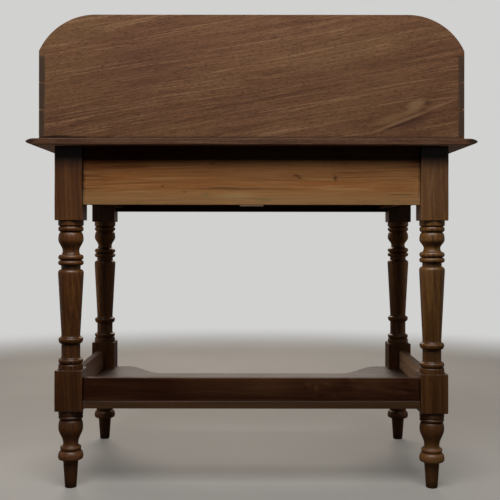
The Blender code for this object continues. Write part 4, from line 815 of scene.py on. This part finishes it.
def turned_knob(node, wood):
    """A turned mushroom knob: a profile of quarter ellipses carried round an axis that points forward."""
    low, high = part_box(node)
    base = GLUE + KNOB_BASE
    rim = base + KNOB_NECK + KNOB_BELLY
    profile = np.vstack((
        curve((0, rim), (KNOB_RADIUS, KNOB_CROWN), 88, 0, 18),
        curve((KNOB_NECK_RADIUS, rim), (KNOB_RADIUS - KNOB_NECK_RADIUS, KNOB_BELLY), 0, -90, 12)[1:],
        curve((KNOB_NECK_RADIUS + KNOB_COVE, base + KNOB_COVE), (KNOB_COVE, KNOB_COVE), 180, 250, 6),
        curve((KNOB_BASE_RADIUS - KNOB_BEAD, GLUE + KNOB_BASE / 2), (KNOB_BEAD, KNOB_BASE / 2), 80, -90, 7),
        [(SPIGOT_RADIUS, GLUE), (SPIGOT_RADIUS, -FRONT_THICKNESS)],
    ))
    angle = np.linspace(0, 2 * np.pi, KNOB_SIDES + 1)[:-1]
    centre, face = (low + high) / 2, high.y - FRONT_THICKNESS
    rings = np.empty((len(profile), len(angle), 3))
    rings[..., 0] = centre.x + profile[:, :1] * np.cos(angle)
    rings[..., 1] = face - profile[:, 1:]
    rings[..., 2] = centre.z + profile[:, :1] * np.sin(angle)
    worn = np.clip((profile[:, 1:] - rim) / KNOB_CROWN, 0, 1)
    grime_and_shade = np.clip(1 - np.abs(profile[:, 1:] - base) / KNOB_GRIME, 0, 1) * (profile[:, 1:] > 0)
    return skin(f"{node}_turning", rings, wood, node, worn, grime_and_shade)


front_tails = tail_spans(0, DRAWER_HEIGHT - SIDE_DROP, 3)
rear_tails = tail_spans(BACK_FOOT, DRAWER_HEIGHT - BACK_DROP, 2)
knob_wood = timber("mahogany_of_knobs", "Y", (0.03, 0, 0.64), TURNED)
for side in ("left", "right"):
    low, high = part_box(f"{side}_drawer_front")
    middle, face, foot = (low.x + high.x) / 2, low.y, low.z
    front_wood = timber(f"mahogany_of_{side}_drawer_front", "X", (middle, face + 0.06, 0.61), FRONT_LOOK,
                        tilt=(0, 0, 1.5))
    side_wood = timber(f"pine_of_{side}_drawer_sides", "Y", (middle + 0.1, 0, 0.55), SIDE_PINE)
    back_wood = timber(f"pine_of_{side}_drawer_back", "X", (0, 0.3, 0.57), SIDE_PINE)
    shape = [[(-DRAWER_HALF, foot), (DRAWER_HALF, foot)],
             [(DRAWER_HALF, foot + DRAWER_HEIGHT), (-DRAWER_HALF, foot + DRAWER_HEIGHT)]]
    pin_board(f"{side}_drawer_front", shape, DRAWER_HALF, middle, SIDE_THICKNESS + GLUE, front_tails + foot,
              (face, face + FRONT_THICKNESS), face + LAP, LAP - GLUE, front_wood)
    back_top = foot + DRAWER_HEIGHT - BACK_DROP
    shape = [[(-DRAWER_HALF, foot + BACK_FOOT), (DRAWER_HALF, foot + BACK_FOOT)],
             [(DRAWER_HALF, back_top), (-DRAWER_HALF, back_top)]]
    rear = face + DRAWER_LENGTH
    pin_board(f"{side}_drawer_back", shape, DRAWER_HALF, middle, SIDE_THICKNESS + GLUE, rear_tails + foot,
              (rear - BACK_THICKNESS, rear), rear, 0, back_wood, ease=0.0004, rim=0.0005)
    near, far = FRONT_THICKNESS + GLUE, DRAWER_LENGTH - BACK_THICKNESS - GLUE
    top, back_low, back_high = DRAWER_HEIGHT - SIDE_DROP, BACK_FOOT - GLUE, DRAWER_HEIGHT - BACK_DROP + GLUE
    outline = np.array([
        (near, 0), (DRAWER_LENGTH, 0), (DRAWER_LENGTH, back_low), (far, back_low),
        *tail_edge(DRAWER_LENGTH, far, rear_tails),
        (far, back_high), (DRAWER_LENGTH, back_high), (DRAWER_LENGTH, top), (near, top),
        *reversed(tail_edge(LAP, near, front_tails)),
    ]) + (face, foot)
    for end in ("left", "right"):
        node = f"{side}_drawer_{end}_side"
        low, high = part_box(node)
        board(node, outline, low.x, high.x, ENDWISE, side_wood, ease=0.0004, rim=0.0005)
    refinish(f"{side}_drawer_bottom", timber(f"pine_of_{side}_drawer_bottom", "X", (0, 0.1, 0.5), SIDE_PINE))
    for letter in "ab":
        turned_knob(f"{side}_drawer_knob_{letter}", knob_wood)


# The top. One thin mahogany board with a blunt nose worked along its front and ends. The rear edge,
# which is out of sight in use, is left square.

TOP_LOOK = {
    **TURNED, "dark": (64, 40, 27), "mid": (83, 55, 39), "light": (102, 72, 52), "stained": (68, 45, 33),
    "bare": (112, 84, 63), "faded": (86, 58, 42), "underside_tone": (156, 118, 91), "grime_and_shade_tone": (38, 31, 26),
    "broad": 1.0, "narrow": 0.7, "rings": 0.14, "ring": 0.013, "rough": (0.42, 0.58), "sheen": 0.1,
}
NOSE_RUN, NOSE_POWER, NOSE_ROWS = 0.016, 1.25, 25
NOSE_RUB, RUB_WAVES, EDGE_POINTS = 0.0002, (23, 9), 60
REAR_EASE, REAR_POWER = 0.0008, 12
END_SHADE = 0.462  # from the middle of the top
low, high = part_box("table_top")
middle = (low.z + high.z) / 2
# The tips of the nose at both ends are darkened on the face and over the nose's upper part, as painted shade.
SHADED_ENDS = [(side * END_SHADE, middle, 0.014, 0.010, 0, 0.75, (24, 18, 15)) for side in (-1, 1)]
top_wood = timber("faded_mahogany_of_top", "X", (0.2, -0.1, 0.62), TOP_LOOK, (0, 0, 2), figures=SHADED_ENDS)
turn = np.radians(np.linspace(-90, 90, NOSE_ROWS))[:, None]
out = NOSE_RUN * np.abs(np.cos(turn)) ** NOSE_POWER  # a blunt point: powers of the cosine and sine
up = (high.z - low.z) / 2 * np.sign(turn) * np.abs(np.sin(turn)) ** NOSE_POWER
half, front = high.x - NOSE_RUN + out, low.y + NOSE_RUN - out
back = high.y - REAR_EASE * np.abs(np.sin(turn)) ** REAR_POWER
along = np.linspace(-1, 1, EDGE_POINTS)[:-1]
beat = np.sin(along * RUB_WAVES[0]) * np.sin(along * RUB_WAVES[1])
rub = np.abs(NOSE_RUB * beat * out / NOSE_RUN)
depth = (back - front) * (along + 1) / 2
flat = np.stack((np.hstack((along * half, half - rub, -along * half, rub - half)),
                 np.hstack((front + rub, front + depth, back + 0 * along, back - depth))), axis=-1)
NOSE_WEAR = 0.7
WORN_EDGES, SHADED_EDGES = (1, 0.2, 0, 0.2), (0, 1, 0, 1)  # front, one end, back and the other end
upper = np.clip(1 + 2 * np.sin(turn), 0, 1)
worn, grime_and_shade = (share * out / NOSE_RUN * np.repeat(edges, len(along))
               for share, edges in ((NOSE_WEAR, WORN_EDGES), (upper, SHADED_EDGES)))
skin("table_top_board", stand(flat, middle + up[:, 0], FLAT), top_wood, "table_top", worn, grime_and_shade)


# The gallery. A tall mahogany back board with rounded corners and two swept ends hold splashes in. The
# ends are through dovetailed into the back, and screws come up through the top.

GALLERY_LOOK = {
    **TOP_LOOK, "dark": (75, 48, 31), "mid": (96, 65, 44), "light": (117, 84, 58), "pore": (48, 29, 18),
    "stained": (88, 55, 42), "broad": 0.45, "narrow": 0.75, "fibre": 0.9, "flecks": 0.6, "pores": 0.45,
    "end_tone": (55, 45, 37), "end": 0.85, "wander": 0.03, "stain": 0.45, "fade": 0.5, "faded": (110, 81, 52),
    "bare": (142, 108, 78), "lines": 0.45, "rough": (0.46, 0.60), "sheen": 0.08, "relief": 0.25,
}
CORNER_RADIUS, CORNER_DROP, SIDE_STEP = 0.130, 0.076, 0.007
GALLERY_SIDE_LENGTH, NOSE_HEIGHT, LEVEL_STRETCH = 0.420, 0.034, 0.030
CORNER_POINTS, TOP_EDGE_POINTS, SWEEP_POINTS, NOSE_POINTS = 40, 30, 60, 20
low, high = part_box("gallery_back")
foot, rear, half, thickness = low.z, high.y, high.x, high.y - low.y
side_height = high.z + GLUE - foot - CORNER_DROP - SIDE_STEP
gallery_tails = tail_spans(0, side_height, 3) + foot
rise = CORNER_RADIUS - CORNER_DROP
run = math.sqrt(CORNER_RADIUS**2 - rise**2)
start = math.degrees(math.atan2(rise, run))
corner = curve((half - run, high.z - CORNER_RADIUS), (CORNER_RADIUS,) * 2, start, 90, CORNER_POINTS)
top_edge = np.linspace(corner[-1], corner[-1] * (-1, 1), TOP_EDGE_POINTS)[1:-1]
shape = [np.array([(-half, foot), (half, foot)]), np.vstack((corner, top_edge, (corner * (-1, 1))[::-1]))]
# Darker along the board's foot, where it meets the top.
DARKER_FOOT = ((foot + 0.002, foot + 0.006, 0.5, (30, 17, 11), "MIX"),)
FIGURE = (  # a small curl in the grain, with a dark streak under a pale one, and a dark patch by one end of the foot
    (-0.2988, 0.787, 0.070, 0.0100, 20, 0.45, (118, 88, 57)),
    (-0.3077, 0.770, 0.072, 0.0034, 20, 0.85, (50, 31, 22)),
    (-0.3330, 0.7765, 0.060, 0.0150, 19, 0.62, (62, 37, 29)),
    (0.3945, foot + 0.002, 0.060, 0.0050, 0, 0.9, (20, 11, 7)),
    (-0.3144, 0.7795, 0.080, 0.0040, 21, 0.55, (128, 98, 70)),
    (-0.3405, 0.811, 0.026, 0.0135, 32, 0.60, (126, 97, 67)),
    (-0.3675, 0.814, 0.009, 0.0065, 0, 0.60, (60, 38, 27)),
    (-0.3946, 0.813, 0.038, 0.0040, 19, 0.50, (128, 97, 70)))
back_wood = timber("faded_mahogany_of_gallery_back", "X", (0.1, 0.33, 0.70), GALLERY_LOOK, (0, 10, 0),
                   DARKER_FOOT, FIGURE)
pin_board("gallery_back", shape, half, 0, thickness + GLUE, gallery_tails, (low.y, rear), rear, 0, back_wood,
          ease=0.0006, rim=0.0004)

root = rear - thickness - GLUE
nose_start = rear - GALLERY_SIDE_LENGTH + NOSE_HEIGHT
share = np.linspace(0, 1, SWEEP_POINTS)
sweep = np.column_stack((root - LEVEL_STRETCH + (nose_start - root + LEVEL_STRETCH) * share,
                         side_height + (NOSE_HEIGHT - side_height) * (1 - np.cos(np.pi * share)) / 2))
nose = curve((nose_start, 0), (NOSE_HEIGHT, NOSE_HEIGHT), 90, 180, NOSE_POINTS)[1:]
profile = np.vstack((sweep, nose)) + (0, foot)
tails = tail_edge(rear, root, gallery_tails)
outline = np.vstack(([(root, foot)], tails, [(root, foot + side_height)], profile))
for side in ("left", "right"):
    node = f"{side}_gallery_side"
    low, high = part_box(node)
    side_wood = timber(f"faded_mahogany_of_{node}", "Y", (low.x * 0.93, 0, 0.72), GALLERY_LOOK, (3, 0, 0))
    board(node, outline, low.x, high.x, ENDWISE, side_wood, ease=0.0006, rim=0.0006)


# The undershelf. A mahogany board let in round the legs, hollowed at the front by an ogee at each end, with
# low rails along its back and ends that are tenoned into the lower blocks.

RIGHT_RAIL = {**DARK_RAIL, "dark": (84, 60, 46), "mid": (111, 83, 65), "light": (133, 104, 83),
              "sheen": 0.03, "worn": 0.2}
# The left rail's tones are lighter than the right's: painted light on its inner face.
LEFT_RAIL = {**RIGHT_RAIL, "dark": (112, 86, 63), "mid": (143, 113, 86), "light": (165, 134, 105)}
SHELF_LOOK = {**DARK_RAIL, "dark": (24, 12, 7), "mid": (46, 28, 17), "light": (64, 42, 28),
              "rough": (0.31, 0.45), "sheen": 0.32, "worn": 0.08}
SHELF_HOLLOW, SHELF_LOBE, SHELF_SWEEP, OGEE_POINTS = 0.108, 0.028, 0.105, 48
low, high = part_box("shelf")
lobe = LEG_INNER_X - SHELF_LOBE
share = np.linspace(0, 1, OGEE_POINTS)
ogee = np.column_stack((lobe - SHELF_SWEEP * share, low.y + SHELF_HOLLOW * (1 - np.cos(np.pi * share)) / 2))
notches = [(between_x, high.y), (between_x, between_y), (high.x, between_y),
           (high.x, -between_y), (between_x, -between_y), (between_x, low.y)]
right_half = np.vstack((notches, ogee))
outline = np.vstack((right_half, (right_half * (-1, 1))[::-1]))
PALE_EDGE = ((high.z - 0.0020, high.z - 0.0006, 0.42, (82, 55, 30), "MIX"),)
shelf_wood = timber("mahogany_of_shelf", "X", (-0.1, 0.05, 0.08), SHELF_LOOK, (0, 0, 1), PALE_EDGE)
board("shelf", outline, low.z, high.z, FLAT, shelf_wood, ease=0.0006, rim=0.002)
low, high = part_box("shelf_back_rail")
SWIRL_AND_CORNER_SHADE = (  # a knot's edge, then grain that falls away from it, and painted shade with some dirt in the corners beside the legs
    (-0.1164, 0.2143, 0.0070, 0.0077, 0, 0.80, (22, 9, 5)),
    (-0.1376, 0.2158, 0.0110, 0.0064, -50, 0.46, (86, 56, 40)),
    (-0.1196, 0.2232, 0.0100, 0.0058, -20, 0.43, (80, 50, 36)),
    (-0.1317, 0.2202, 0.0095, 0.0034, -60, 0.74, (22, 9, 5)),
    (-0.1482, 0.1984, 0.0070, 0.0048, 0, 0.80, (20, 8, 4)),
    (-0.1709, 0.2037, 0.0150, 0.0034, -48, 0.80, (22, 9, 5)),
    (-0.1755, 0.1990, 0.0110, 0.0032, -45, 0.46, (82, 52, 38)),
    (-0.1611, 0.2249, 0.0130, 0.0045, -25, 0.39, (80, 50, 36)),
    (-0.1813, 0.2082, 0.0055, 0.0045, 0, 0.74, (22, 9, 5)),
    (-0.2150, 0.2323, 0.0090, 0.0045, -15, 0.43, (86, 56, 42)),
    (-0.2285, 0.2179, 0.0260, 0.0054, -12, 0.35, (74, 45, 29)),
    (-0.2512, 0.2067, 0.0300, 0.0042, -12, 0.64, (24, 9, 4)),
    (-0.2845, 0.2111, 0.0360, 0.0054, -11, 0.35, (72, 43, 26)),
    (-0.3072, 0.2158, 0.0360, 0.0039, -10, 0.59, (24, 10, 5)),
    (-0.3225, 0.2067, 0.0170, 0.0051, -14, 0.35, (82, 52, 40)),
    (-0.2998, 0.1976, 0.0360, 0.0045, -9, 0.53, (24, 10, 5)),
    # Painted shade, with some dirt, in the corners beside the legs.
    (-0.3600, 0.2130, 0.0060, 0.0600, 0, 0.75, (20, 9, 5)),
    (0.3600, 0.2130, 0.0060, 0.0600, 0, 0.6, (24, 11, 6)))
SHELF_RAIL_EASE = 0.0011
rail_wood = timber("mahogany_of_shelf_back_rail", "X", (-0.15, 0.28, 0.17), DARK_RAIL, (0, -1.5, 0),
                   figures=SWIRL_AND_CORNER_SHADE)
rail = rectangle(-between_x, between_x, low.z, high.z)
board("shelf_back_rail", rail, low.y, high.y, UPRIGHT, rail_wood, SHELF_RAIL_EASE)
for node, look in (("left_shelf_rail", LEFT_RAIL), ("right_shelf_rail", RIGHT_RAIL)):
    low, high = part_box(node)
    # Painted shade darkens the rails' top faces.
    shaded_top = (high.z - 0.0004, high.z - 0.0018, 0.75, (42, 27, 18), "MIX")
    rail_wood = timber(f"mahogany_of_{node}", "Y", (low.x, 0.1, 0.12), look, bands=(shaded_top,))
    rail = rectangle(-between_y, between_y, low.z, high.z)
    board(node, rail, low.x, high.x, ENDWISE, rail_wood, SHELF_RAIL_EASE)


# The screws. They are of blackened iron, pitted with rust. Five come up through the top to hold the gallery,
# and six up through the shelf to hold its rails.

IRON, RUST = shade(52, 48, 46), shade(84, 52, 34)
IRON_ROUGHNESS, IRON_METALLIC = (0.4, 0.75), 0.7
PITS, PIT_DEPTH, PIT_STRENGTH = {"Scale": 420, "Detail": 4}, 0.0003, 0.4
PIT_RUST, PIT_DULL = (0.45, 0.65), (0.3, 0.7)  # where rust and roughness start to show, and show in full
old_iron = bpy.data.materials.new("blackened_iron")
old_iron.use_nodes = True
tree = old_iron.node_tree
spot = add(tree, "ShaderNodeTexCoord").outputs["Object"]
pits = add(tree, "ShaderNodeTexNoise", {"Vector": spot, **PITS}).outputs["Fac"]
metal = tree.nodes["Principled BSDF"]
rusted = mix(tree, spread(tree, pits, *PIT_RUST), IRON, RUST)
tree.links.new(rusted, metal.inputs["Base Color"])
tree.links.new(spread(tree, pits, *PIT_DULL, *IRON_ROUGHNESS), metal.inputs["Roughness"])
metal.inputs["Metallic"].default_value = IRON_METALLIC
dents = add(tree, "ShaderNodeBump", {"Height": pits, "Strength": PIT_STRENGTH, "Distance": PIT_DEPTH})
tree.links.new(dents.outputs["Normal"], metal.inputs["Normal"])
for node in [*(f"gallery_screw_{n}" for n in range(1, 6)), *(f"shelf_screw_{n}" for n in range(1, 7))]:
    refinish(node, old_iron)
